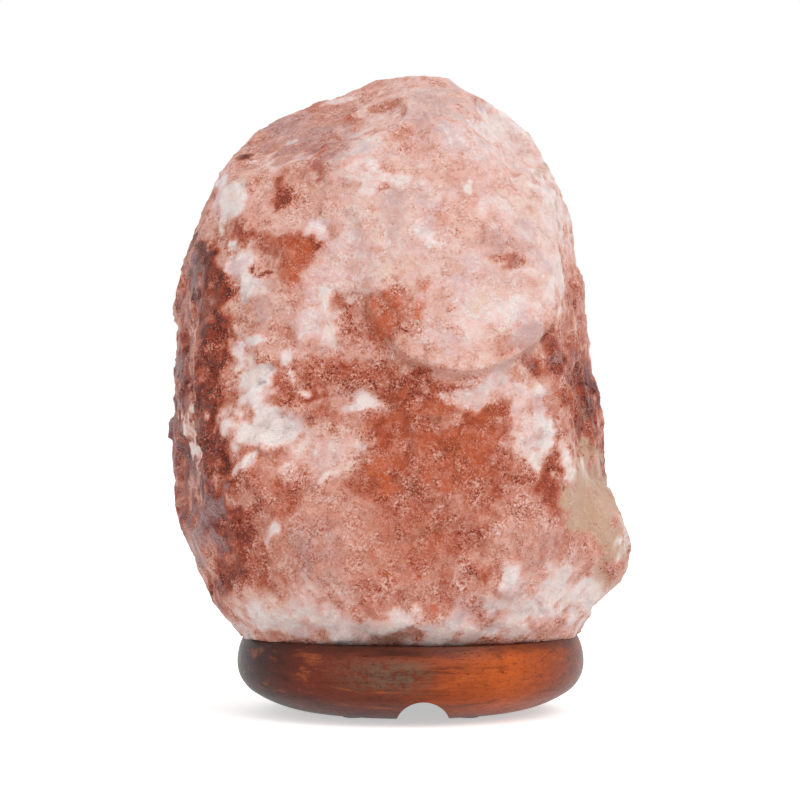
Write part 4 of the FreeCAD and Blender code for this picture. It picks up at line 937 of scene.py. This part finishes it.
# ----------------------------------------------------------------------------------- shader maths
class Value:
    """A number that varies over a surface: a socket, with the operators that add its Math nodes."""

    def __init__(self, nodes: "Nodes", socket: bpy.types.NodeSocket) -> None:
        """Wraps a socket of a node tree."""
        self.nodes = nodes
        self.socket = socket

    def join(self, operation: str, first: "Value | float", second: "Value | float") -> "Value":
        """Adds a Math node on two numbers and returns its result."""
        node = self.nodes.node("ShaderNodeMath", {"operation": operation}, {0: first, 1: second})
        return Value(self.nodes, node.outputs[0])

    def __add__(self, other: "Value | float") -> "Value":
        """Adds a number."""
        return self.join("ADD", self, other)

    def __radd__(self, other: float) -> "Value":
        """Adds to a number."""
        return self.join("ADD", other, self)

    def __sub__(self, other: "Value | float") -> "Value":
        """Takes a number away."""
        return self.join("SUBTRACT", self, other)

    def __rsub__(self, other: float) -> "Value":
        """Is taken away from a number."""
        return self.join("SUBTRACT", other, self)

    def __mul__(self, other: "Value | float") -> "Value":
        """Multiplies by a number."""
        return self.join("MULTIPLY", self, other)

    def __rmul__(self, other: float) -> "Value":
        """Multiplies a number."""
        return self.join("MULTIPLY", other, self)

    def most(self, other: "Value | float") -> "Value":
        """Gives the larger of two numbers."""
        return self.join("MAXIMUM", self, other)

    def between(self, low: float, high: float) -> "Value":
        """Rises smoothly from 0 to 1.

        Args:
            low: Where it starts to rise.
            high: Where it stops.

        Returns:
            The share of the way, smoothed at both ends.
        """
        settings = {"interpolation_type": "SMOOTHSTEP", "clamp": True}
        inputs = {"Value": self, "From Min": low, "From Max": high}
        return Value(self.nodes, self.nodes.node("ShaderNodeMapRange", settings, inputs).outputs[0])


Link = bpy.types.NodeSocket
Input = Value | Link | float | Sequence[float]


class Nodes:
    """Adds nodes to a node tree."""

    def __init__(self, tree: bpy.types.NodeTree) -> None:
        """Takes the tree that the nodes go into."""
        self.tree = tree

    def set(self, inputs: Mapping[str | int, Input], node: bpy.types.Node) -> None:
        """Sets or links the sockets of a node.

        Args:
            inputs: What they hold or are linked to, by each one's place, name or identifier.
            node: The node.
        """
        for key, value in inputs.items():
            if isinstance(key, int):
                socket = node.inputs[key]
            else:
                socket = next(one for one in node.inputs if key in (one.name, one.identifier))
            if isinstance(value, Value):
                self.tree.links.new(value.socket, socket)
            elif isinstance(value, Link):
                self.tree.links.new(value, socket)
            else:
                socket.default_value = value

    def node(
        self,
        kind: str,
        settings: Mapping[str, object] | None = None,
        inputs: Mapping[str | int, Input] | None = None,
    ) -> bpy.types.Node:
        """Adds a node.

        Args:
            kind: Its type.
            settings: Its own settings, such as a Math node's operation.
            inputs: What its sockets hold or are linked to.

        Returns:
            The node.
        """
        node = self.tree.nodes.new(kind)
        for name, value in (settings or {}).items():
            setattr(node, name, value)
        self.set(inputs or {}, node)
        return node

    def looking(self) -> Value:
        """Tells which rays look at the scene.

        Returns:
            1 for rays from the camera, gloss or glass, and 0 for rays that gather light.
        """
        path = self.node("ShaderNodeLightPath")
        seen = Value(self, path.outputs["Is Camera Ray"]).most(Value(self, path.outputs["Is Glossy Ray"]))
        return seen.most(Value(self, path.outputs["Is Transmission Ray"]))


class Paint(Nodes):
    """Builds the nodes of one material round its surface shader."""

    def __init__(self, name: str, constants: Mapping[str, float | Sequence[float]]) -> None:
        """Starts a material.

        Args:
            name: The material's name.
            constants: What is the same all over the surface, by the shader's socket.
        """
        self.material = bpy.data.materials.new(name)
        self.material.use_nodes = True
        super().__init__(self.material.node_tree)
        self.shader = self.tree.nodes["Principled BSDF"]
        self.set(constants, self.shader)

    def points(self, scale: Sequence[float] = (1, 1, 1), turned: Sequence[float] = (0, 0, 0)) -> Link:
        """Gives the surface's own coordinates in metres, turned and then stretched.

        Args:
            scale: How many times they are stretched along x, y and z.
            turned: How far they are turned about x, y and z.

        Returns:
            The socket that holds them.
        """
        place = self.node("ShaderNodeTexCoord").outputs["Object"]
        mapping = self.node("ShaderNodeMapping", {}, {"Vector": place, "Rotation": turned, "Scale": scale})
        return mapping.outputs[0]

    def noise(
        self, points: Link, per_metre: float, detail: float = 3, rough: float = 0.55, bend: float = 0
    ) -> Value:
        """Gives smooth noise from 0 to 1.

        Args:
            points: Where it is read.
            per_metre: Its widest lumps to the metre.
            detail: How many times finer lumps are added.
            rough: How strong each finer set is, against the one before.
            bend: How far its own lumps bend it.

        Returns:
            The noise.
        """
        inputs = {
            "Vector": points,
            "Scale": per_metre,
            "Detail": detail,
            "Roughness": rough,
            "Distortion": bend,
        }
        return Value(self, self.node("ShaderNodeTexNoise", {}, inputs).outputs[0])

    def flakes(self, points: Link, per_metre: float) -> Value:
        """Gives angular cells, each with its own number from 0 to 1.

        Args:
            points: Where they are read.
            per_metre: How many there are to the metre.

        Returns:
            The number of the cell at each place.
        """
        settings = {"feature": "F1", "distance": "CHEBYCHEV"}
        cells = self.node("ShaderNodeTexVoronoi", settings, {"Vector": points, "Scale": per_metre})
        parts = self.node("ShaderNodeSeparateColor", {}, {0: cells.outputs["Color"]})
        return Value(self, parts.outputs[0])

    def cell_middles(self, points: Link, per_metre: float) -> Value:
        """Gives the distance to the nearest of many scattered middles, in cells."""
        cells = self.node("ShaderNodeTexVoronoi", {"feature": "F1"}, {"Vector": points, "Scale": per_metre})
        return Value(self, cells.outputs["Distance"])

    def weight(self, name: str) -> Value:
        """Reads a number that the mesh keeps for each vertex."""
        return Value(self, self.node("ShaderNodeAttribute", {"attribute_name": name}).outputs["Fac"])

    def part(self, points: Link, side: int) -> Value:
        """Gives one of a place's three coordinates."""
        return Value(self, self.node("ShaderNodeSeparateXYZ", {}, {0: points}).outputs[side])

    def ramp(self, factor: Value, stops: Sequence[tuple[float, Colour]]) -> Link:
        """Turns a number into a colour.

        Args:
            factor: The number.
            stops: The shares of the way from 0 to 1 where colours are pure, and those colours.

        Returns:
            The socket that holds the colour.
        """
        node = self.node("ShaderNodeValToRGB", {}, {0: factor})
        stretch = node.color_ramp.elements
        while len(stretch) < len(stops):
            stretch.new(1.0)
        for element, (share, colour) in zip(stretch, stops):
            element.position, element.color = share, colour
        return node.outputs[0]

    def blend(self, factor: Value | float, under: Link | Colour, over: Link | Colour) -> Link:
        """Mixes two colours."""
        inputs = {"Factor_Float": factor, "A_Color": under, "B_Color": over}
        return self.node("ShaderNodeMix", {"data_type": "RGBA"}, inputs).outputs[2]

    def bump(self, height: Value, distance: float, strength: float = 1.0, under: Link | None = None) -> Link:
        """Tilts the surface's shading by a height.

        Args:
            height: The height, from 0 to 1.
            distance: How many metres it is worth.
            strength: How much of the tilt shows.
            under: The tilt that it is added to.

        Returns:
            The socket that holds the tilted way out.
        """
        inputs: dict[str | int, Input] = {"Height": height, "Distance": distance, "Strength": strength}
        if under is not None:
            inputs["Normal"] = under
        return self.node("ShaderNodeBump", {}, inputs).outputs[0]

    def finish(self, **inputs: Input) -> bpy.types.Material:
        """Links what varies over the surface to the shader's sockets, named with low lines for spaces."""
        self.set({name.replace("_", " "): value for name, value in inputs.items()}, self.shader)
        return self.material


# ----------------------------------------------------------------------------------- finishes
@dataclass(frozen=True)
class RockSaltFinish:
    """Broken rock salt, from clear red-brown through salmon to frosted white, full of fine grains and painted
    glints.

    Attributes:
        tones: The colours along the tone, each from the share of the way where it is pure.
        lilac, cream: What pale places lean towards here and there.
        glow, grey_pink_and_rim_sheen, clay: The glow of the embers, the tint of the mauve places, a painted
            pale sheen where they run along the left rim, and the tint of the tan ones.
        glint: The colour of painted glints, bright points that stand in for light sparkling off crystal
            faces.
    """

    tones: Sequence[tuple[float, Colour]] = (
        (0.00, shade(80, 24, 15)),
        (0.16, shade(132, 50, 32)),
        (0.30, shade(178, 78, 46)),
        (0.47, shade(206, 134, 112)),
        (0.64, shade(230, 174, 158)),
        (0.82, shade(244, 206, 198)),
        (1.00, shade(250, 234, 230)),
    )
    lilac: Colour = shade(224, 188, 190)
    cream: Colour = shade(244, 214, 194)
    grey_pink_and_rim_sheen: Colour = shade(184, 152, 152)
    clay: Colour = shade(204, 174, 146)
    glow: Colour = shade(216, 100, 48)
    glint: Colour = shade(250, 232, 222)

    def material(self, name: str) -> bpy.types.Material:
        """Makes the salt's material.

        Args:
            name: The material's name.

        Returns:
            The material.
        """
        constants = {
            "IOR": 1.54,
            "Specular IOR Level": 0.22,
            "Subsurface Weight": 0.18,
            "Subsurface Radius": (1.0, 0.5, 0.4),
            "Subsurface Scale": 0.004,
        }
        paint = Paint(name, constants)
        points = paint.points()
        cloud = paint.noise(points, per_metre=55, detail=4, rough=0.6, bend=0.6)
        mottle = paint.noise(points, per_metre=190, detail=4, rough=0.62, bend=0.9)
        grain = paint.noise(points, per_metre=1200, detail=3, rough=0.8)
        wide_flakes = paint.flakes(points, per_metre=230)
        fine_flakes = paint.flakes(points, per_metre=720)
        crowded = paint.noise(points, per_metre=150, detail=4, rough=0.7, bend=0.3).between(0.44, 0.62)
        base = paint.weight(Zone.TONE.value)
        calm = 1 - base.between(0.45, 0.85) * 0.55
        tone = base + 0.03 + (cloud - 0.5) * 0.3 + (mottle - 0.5) * 0.36
        tone = tone + (wide_flakes - 0.5) * 0.07 + (fine_flakes - 0.5) * (0.08 + crowded * 0.14)
        tone = tone + (grain - 0.5) * (0.5 + crowded * 1.5) * calm
        colour = paint.ramp(tone, self.tones)
        tints = paint.noise(points, per_metre=80, detail=5, rough=0.65, bend=0.6)

        def ragged(zone: Zone) -> Value:
            """Breaks a tint's edge up with mottling and grain."""
            strength = paint.weight(zone.value) + (tints - 0.5) * 1.0 + (grain - 0.5) * 0.3
            return strength.between(0.1, 1.0)

        pale = tone.between(0.5, 0.85)
        colour = paint.blend(tints.between(0.52, 0.68) * pale * 0.6, colour, self.lilac)
        colour = paint.blend(tints.between(0.48, 0.34) * pale * 0.5, colour, self.cream)
        glowing = ragged(Zone.EMBER) * (1 - pale * 0.7) * grain.between(0.75, 0.35) * 0.8
        colour = paint.blend(glowing, colour, self.glow)
        # the mauve tint, which along the left rim is a painted pale sheen
        colour = paint.blend(ragged(Zone.MAUVE_AND_RIM_SHEEN) * grain.between(0.2, 0.6) * 0.8, colour, self.grey_pink_and_rim_sheen)
        colour = paint.blend(ragged(Zone.TAN) * 0.75, colour, self.clay)
        # painted glints: bright points laid into the colour where light would sparkle off tiny crystal faces;
        # the same points also raise the bump
        glint_specks = 1 - paint.cell_middles(points, per_metre=1150).between(0.12, 0.28)
        glint_specks = glint_specks * (0.35 + crowded * 0.65)
        colour = paint.blend(glint_specks * 0.65, colour, self.glint)
        rough = 0.34 + pale * 0.16 + (grain - 0.5) * 0.4
        wide = paint.bump(wide_flakes * 0.5 + mottle * 1.2, distance=0.0014, strength=0.8)
        heights = fine_flakes * (0.3 + crowded * 0.5) + grain * 1.2 + glint_specks * 0.5
        fine = paint.bump(heights, distance=0.0007, strength=0.9, under=wide)
        return paint.finish(Base_Color=colour, Roughness=rough, Normal=fine)


@dataclass(frozen=True)
class TurnedWoodFinish:
    """Stained hardwood under satin lacquer, with painted light in its colour: painted shade nearly black at
    its left rim, a painted highlight bright at its right, and a painted shadow on its top under the salt.

    Attributes:
        board_with_painted_light: The colours from the left rim to the right rim, each at its share of the
            way: the wood's own colour with painted shade at the left rim, a painted highlight towards the
            right and painted shade again at the right rim.
        dark, bright: Dark and bright rings, fibres and pores; the dark colour also paints the salt's shadow
            on the top of the wood.
        weathered: The worn patch left of the cord's notch.
        middle: The wood's middle across the lamp, in metres.
        radius: Its widest circle, in metres.
    """

    # painted light over the wood's own colour: shade at the left rim, a painted highlight round 0.78, and
    # shade again at the right rim
    board_with_painted_light: Sequence[tuple[float, Colour]] = (
        (0.00, shade(34, 14, 10)),
        (0.10, shade(66, 26, 16)),
        (0.24, shade(112, 46, 28)),
        (0.44, shade(122, 58, 38)),
        (0.62, shade(156, 70, 32)),
        (0.78, shade(190, 88, 34)),
        (0.92, shade(146, 66, 34)),
        (1.00, shade(90, 46, 36)),
    )
    dark: Colour = shade(48, 18, 11)
    bright: Colour = shade(206, 108, 52)
    weathered: Colour = shade(112, 92, 74)
    middle: float = 0.00435
    radius: float = 0.065

    def material(self, name: str) -> bpy.types.Material:
        """Makes the wood's material.

        Args:
            name: The material's name.

        Returns:
            The material.
        """
        constants = {"Specular IOR Level": 0.12, "Coat Weight": 0.05, "Coat Roughness": 0.3}
        paint = Paint(name, constants)
        points = paint.points()
        along_rings = paint.points(scale=(0.10, 0.45, 1.0), turned=(0.04, 0.05, 0))
        along_fibres = paint.points(scale=(0.06, 0.5, 1.0), turned=(0.02, 0.03, 0))
        along_pores = paint.points(scale=(0.14, 1.0, 1.0), turned=(0.03, 0.02, 0))
        rings = paint.noise(along_rings, per_metre=260, detail=4, rough=0.6, bend=0.6)
        fibres = paint.noise(along_fibres, per_metre=1100, detail=4, rough=0.75)
        pores = paint.noise(along_pores, per_metre=1900, detail=2, rough=0.7).between(0.58, 0.70)
        cloud = paint.noise(paint.points(scale=(0.5, 0.5, 1.0)), per_metre=48, detail=4, rough=0.65)
        mottle = paint.noise(points, per_metre=420, detail=4, rough=0.7)
        height = paint.part(points, 2)
        half = 0.5
        share = paint.part(points, 0) * (half / self.radius) + (half - self.middle * half / self.radius)
        # the colour across the wood carries painted light: dark at the left rim, bright towards the right
        colour = paint.ramp(share + (cloud - 0.5) * 0.22 + (rings - 0.5) * 0.12, self.board_with_painted_light)
        colour = paint.blend(rings.between(0.56, 0.70) * 0.35, colour, self.bright)
        colour = paint.blend(rings.between(0.46, 0.34) * 0.45, colour, self.dark)
        # painted shadow: a dark band round the top of the wood, where the salt's overhang shades it
        painted_salt_shadow = (height + (cloud - 0.5) * 0.010).between(0.0245, 0.0285)
        colour = paint.blend(painted_salt_shadow * 0.7, colour, self.dark)
        worn = share.between(0.24, 0.42) * (1 - share.between(0.48, 0.60))
        worn = worn * height.between(0.010, 0.016) * (1 - height.between(0.023, 0.026))
        worn = worn * mottle.between(0.36, 0.58)
        colour = paint.blend(worn * cloud.between(0.30, 0.50) * 0.7, colour, self.weathered)
        colour = paint.blend(fibres.between(0.45, 0.70) * 0.35, colour, self.dark)
        colour = paint.blend(pores * 0.6, colour, self.dark)
        rough = 0.36 + (fibres - 0.5) * 0.25 + pores * 0.15
        normal = paint.bump(fibres * 0.7 - pores, distance=0.00018, strength=0.6)
        return paint.finish(Base_Color=colour, Roughness=rough, Normal=normal)


@dataclass(frozen=True)
class MetalFinish:
    """Plated or plain metal with fine drawn lines and cloudy tarnish.

    Attributes:
        colour, tarnish: The clean metal's colour and the worn one's.
        rough: How dull it is.
        lines: How much closer its drawn lines lie along x, y and z.
    """

    colour: Colour
    tarnish: Colour
    rough: float = 0.28
    lines: Sequence[float] = (1, 1, 9)

    def material(self, name: str) -> bpy.types.Material:
        """Makes the metal's material.

        Args:
            name: The material's name.

        Returns:
            The material.
        """
        paint = Paint(name, {"Metallic": 1.0})
        cloud = paint.noise(paint.points(), per_metre=160, detail=4, rough=0.6)
        lines = paint.noise(paint.points(self.lines), per_metre=700, detail=3, rough=0.6)
        worn = (cloud + (lines - 0.5) * 0.8).between(0.38, 0.68)
        colour = paint.blend(worn * 0.8, self.colour, self.tarnish)
        rough = self.rough + (cloud - 0.5) * 0.2 + (lines - 0.5) * 0.15
        normal = paint.bump(lines, distance=0.00003, strength=0.5)
        return paint.finish(Base_Color=colour, Roughness=rough, Normal=normal)


@dataclass(frozen=True)
class MouldedFinish:
    """Moulded plastic, ceramic or dark glass, with faint clouding and a fine skin.

    Attributes:
        colour, cloudy: The colour, and what it leans towards here and there.
        rough: How dull it is.
        skin_per_metre, skin_depth: The skin's lumps to the metre, and their depth in metres.
        coat: How much of a clear gloss lies over it.
    """

    colour: Colour
    cloudy: Colour
    rough: float = 0.35
    skin_per_metre: float = 1800
    skin_depth: float = 0.00002
    coat: float = 0.0

    def material(self, name: str) -> bpy.types.Material:
        """Makes the moulding's material.

        Args:
            name: The material's name.

        Returns:
            The material.
        """
        paint = Paint(name, {"Coat Weight": self.coat, "Coat Roughness": 0.1, "IOR": 1.5})
        points = paint.points()
        cloud = paint.noise(points, per_metre=120, detail=4, rough=0.6)
        skin = paint.noise(points, per_metre=self.skin_per_metre, detail=3, rough=0.6)
        colour = paint.blend(cloud.between(0.40, 0.75) * 0.6, self.colour, self.cloudy)
        rough = self.rough + (cloud - 0.5) * 0.15 + (skin - 0.5) * 0.1
        normal = paint.bump(skin, distance=self.skin_depth, strength=0.7)
        return paint.finish(Base_Color=colour, Roughness=rough, Normal=normal)


@dataclass(frozen=True)
class FeltFinish:
    """Pressed dark felt: matted fibres of one colour, with paler ends."""

    colour: Colour = shade(44, 42, 42)
    ends: Colour = shade(92, 88, 86)

    def material(self, name: str) -> bpy.types.Material:
        """Makes the felt's material.

        Args:
            name: The material's name.

        Returns:
            The material.
        """
        paint = Paint(name, {"Sheen Weight": 0.4, "Sheen Roughness": 0.6})
        points = paint.points()
        fibres = paint.noise(points, per_metre=2600, detail=5, rough=0.75, bend=1.5)
        clumps = paint.noise(points, per_metre=500, detail=3, rough=0.6)
        colour = paint.blend(fibres.between(0.48, 0.72) * 0.6, self.colour, self.ends)
        normal = paint.bump(fibres + clumps * 0.6, distance=0.00025, strength=0.9)
        return paint.finish(Base_Color=colour, Roughness=0.88 + (clumps - 0.5) * 0.1, Normal=normal)


@dataclass(frozen=True)
class ClearGlassFinish:
    """Clear blown or pressed glass with a faint wave in it.

    Attributes:
        tint: The glass's colour.
        rough: How dull it is where it is clean.
        wave: The wave's depth, in metres.
    """

    tint: Colour
    rough: float = 0.02
    wave: float = 0.0002

    def material(self, name: str) -> bpy.types.Material:
        """Makes the glass's material.

        Args:
            name: The material's name.

        Returns:
            The material.
        """
        paint = Paint(name, {"Transmission Weight": 1.0, "IOR": 1.46, "Base Color": self.tint})
        points = paint.points()
        wave = paint.noise(points, per_metre=90, detail=2, rough=0.5)
        dust = paint.noise(points, per_metre=400, detail=3, rough=0.6).between(0.55, 0.9)
        return paint.finish(Roughness=self.rough + dust * 0.05, Normal=paint.bump(wave, self.wave, 0.4))


# each material slot's finish
FINISHES = {
    "rock_salt": RockSaltFinish(),
    "turned_wood": TurnedWoodFinish(),
    "felt": FeltFinish(),
    "zinc_steel": MetalFinish(shade(178, 178, 174), shade(122, 120, 112), rough=0.34),
    "spring_steel": MetalFinish(shade(164, 166, 170), shade(112, 114, 118), rough=0.26, lines=(9, 9, 1)),
    "brass": MetalFinish(shade(206, 164, 88), shade(146, 100, 48), rough=0.28),
    "white_moulding": MouldedFinish(shade(240, 238, 232), shade(228, 224, 214), rough=0.28),
    "grip_nylon": MouldedFinish(shade(230, 229, 224), shade(216, 214, 206), 0.45, 900, 0.00003),
    "ceramic_block": MouldedFinish(shade(242, 239, 230), shade(226, 220, 206), 0.6, 1400, 0.00006),
    "nickel_cap": MetalFinish(shade(184, 180, 170), shade(140, 132, 118), rough=0.24, lines=(1, 1, 3)),
    "solder": MetalFinish(shade(172, 173, 176), shade(120, 121, 126), rough=0.4, lines=(1, 1, 1)),
    "black_glass": MouldedFinish(shade(34, 34, 38), shade(48, 46, 50), 0.12, 600, coat=0.8),
    "bulb_glass": ClearGlassFinish(shade(250, 252, 252)),
    "stem_glass": ClearGlassFinish(shade(236, 246, 242), rough=0.05, wave=0.0005),
    "wire": MetalFinish(shade(150, 144, 136), shade(104, 94, 84), rough=0.32),
    "tungsten": MetalFinish(shade(120, 118, 122), shade(88, 86, 90), rough=0.4),
}


# ----------------------------------------------------------------------------------- studio
@dataclass
class Studio:
    """The camera, the soft lights and the pale floor round the lamp.

    Attributes:
        middle: What the lights point at.
        view_x, view_z: How far to the right and how high the camera stands.
        distance: How far in front of the lamp the camera stands.
        width_seen: Width of the view at the lamp.
        sensor: Width of the camera's sensor, in its own millimetres.
        sky: How strongly the sky lights surfaces.
        floor_half: Half the side of the floor.
    """

    middle: Vector
    view_x: float = 0.0004
    view_z: float = 0.1167
    distance: float = 1.05
    width_seen: float = 0.3008
    sensor: float = 36.0
    sky: float = 0.70
    floor_half: float = 12.0

    # each distant soft light: where it shines from, how wide it is in degrees, and its strength
    LIGHTS = {
        "key": ((0.75, -0.9, 1.1), 40.0, 1.30),
        "fill": ((-0.9, -0.7, 0.5), 50.0, 0.35),
        "back": ((0.1, 0.9, 0.9), 50.0, 0.3),
    }

    def place_camera(self) -> None:
        """Puts a level camera in front, its lens worked out from the width that it sees at the lamp."""
        camera = bpy.data.cameras.new("camera")
        camera.sensor_width = self.sensor
        camera.lens = self.sensor * self.distance / self.width_seen
        camera.clip_end = 100
        stand = bpy.data.objects.new("camera", camera)
        stand.location = (self.view_x, -self.distance, self.view_z)
        stand.rotation_euler = (math.pi / 2, 0, 0)
        bpy.context.scene.collection.objects.link(stand)
        bpy.context.scene.camera = stand

    def place_light(self, name: str, at: Sequence[float], spread: float, strength: float) -> None:
        """Adds a distant soft light.

        Args:
            name: Its name.
            at: Where it shines from, towards the lamp's middle.
            spread: How wide it is, in degrees.
            strength: Its strength.
        """
        light = bpy.data.lights.new(name, "SUN")
        light.angle = math.radians(spread)
        light.energy = strength
        stand = bpy.data.objects.new(name, light)
        stand.location = at
        stand.rotation_euler = (self.middle - Vector(at)).to_track_quat("-Z", "Y").to_euler()
        bpy.context.scene.collection.objects.link(stand)

    def light_sky(self) -> None:
        """Lights the lamp evenly from all round; the sky is white to the camera and in reflections."""
        world = bpy.data.worlds.new("sky")
        world.use_nodes = True
        world.node_tree.nodes.clear()
        nodes = Nodes(world.node_tree)
        soft = nodes.node("ShaderNodeBackground", {}, {"Color": WHITE, "Strength": self.sky})
        white = nodes.node("ShaderNodeBackground", {}, {"Color": WHITE})
        shaders = {0: nodes.looking(), 1: soft.outputs[0], 2: white.outputs[0]}
        mix = nodes.node("ShaderNodeMixShader", {}, shaders)
        nodes.node("ShaderNodeOutputWorld", {}, {0: mix.outputs[0]})
        bpy.context.scene.world = world

    def lay_floor(self) -> bpy.types.Object:
        """Lays a wide white floor that takes the lamp's soft shadow and looks white beyond it.

        Returns:
            The floor.
        """
        half = self.floor_half
        corners = np.array(((-half, -half, 0), (half, -half, 0), (half, half, 0), (-half, half, 0)))
        floor = place_mesh("floor", corners, [(0, 1, 2, 3)])
        paint = Paint("floor", {"Roughness": 0.9, "Specular IOR Level": 0.1})
        unlit, half_white = (0, 0, 0, 1), (0.5, 0.5, 0.5, 1)
        glow = paint.blend(paint.looking(), unlit, half_white)
        paint.set({"Emission Strength": 1.0}, paint.shader)
        floor.data.materials.append(paint.finish(Base_Color=shade(244, 243, 242), Emission_Color=glow))
        return floor

    def build(self) -> None:
        """Sets up the whole studio."""
        self.place_camera()
        self.light_sky()
        for name, (at, spread, strength) in self.LIGHTS.items():
            self.place_light(name, at, spread, strength)
        self.lay_floor()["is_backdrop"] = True
        bpy.context.scene.view_settings.view_transform = "Standard"


# ----------------------------------------------------------------------------------- the lamp
@dataclass
class SaltLamp:
    """The whole lamp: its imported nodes, their finishes and the hewn rock that stands for the plain one.

    Attributes:
    """

    frame: Mapping[str, Mapping]

    def add_rock(self, finish: bpy.types.Material) -> bpy.types.Object:
        """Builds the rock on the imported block's foot, height and axis, and puts it in that block's place.

        Args:
            finish: The salt's material.

        Returns:
            The rock.
        """
        low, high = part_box("salt_crystal")
        base_low, base_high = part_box("wood_base")
        axis = (base_low[0] + base_high[0]) / 2
        rock = SaltCrystal(axis, low[2], (high[2] - low[2]) / MM).build()
        rock.data.materials.append(finish)
        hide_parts("salt_crystal")
        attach(rock, "stand")
        return rock

    def dress_nodes(self, materials: Mapping[str, bpy.types.Material]) -> None:
        """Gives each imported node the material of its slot.

        Args:
            materials: The materials by slot.
        """
        for part in self.frame["record"]["subparts"]:
            node = self.frame["nodes"][part["node"]]
            node.data.materials.clear()
            node.data.materials.append(materials[part["material_slot"]])
            log.info("%s: %s", part["node"], part["material_slot"])

    def build(self) -> None:
        """Makes the finishes, dresses the nodes and adds the rock."""
        materials = {slot: finish.material(slot) for slot, finish in FINISHES.items()}
        self.dress_nodes(materials)
        rock = self.add_rock(materials["rock_salt"])
        log.info("rock: %d vertices, %d faces", len(rock.data.vertices), len(rock.data.polygons))


def box_now() -> list[list[float]]:
    """Gives the lowest and highest corner of the whole object as plain numbers."""
    return [[float(number) for number in corner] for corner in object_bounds()]


def main() -> None:
    """Builds the studio and the lamp."""
    logging.basicConfig(level=logging.INFO, format="%(name)s: %(message)s")
    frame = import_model()
    packed_box = box_now()
    low, high = (Vector(corner) for corner in packed_box)
    Studio((low + high) / 2).build()
    SaltLamp(frame).build()


if __name__ == "__main__":
    main()
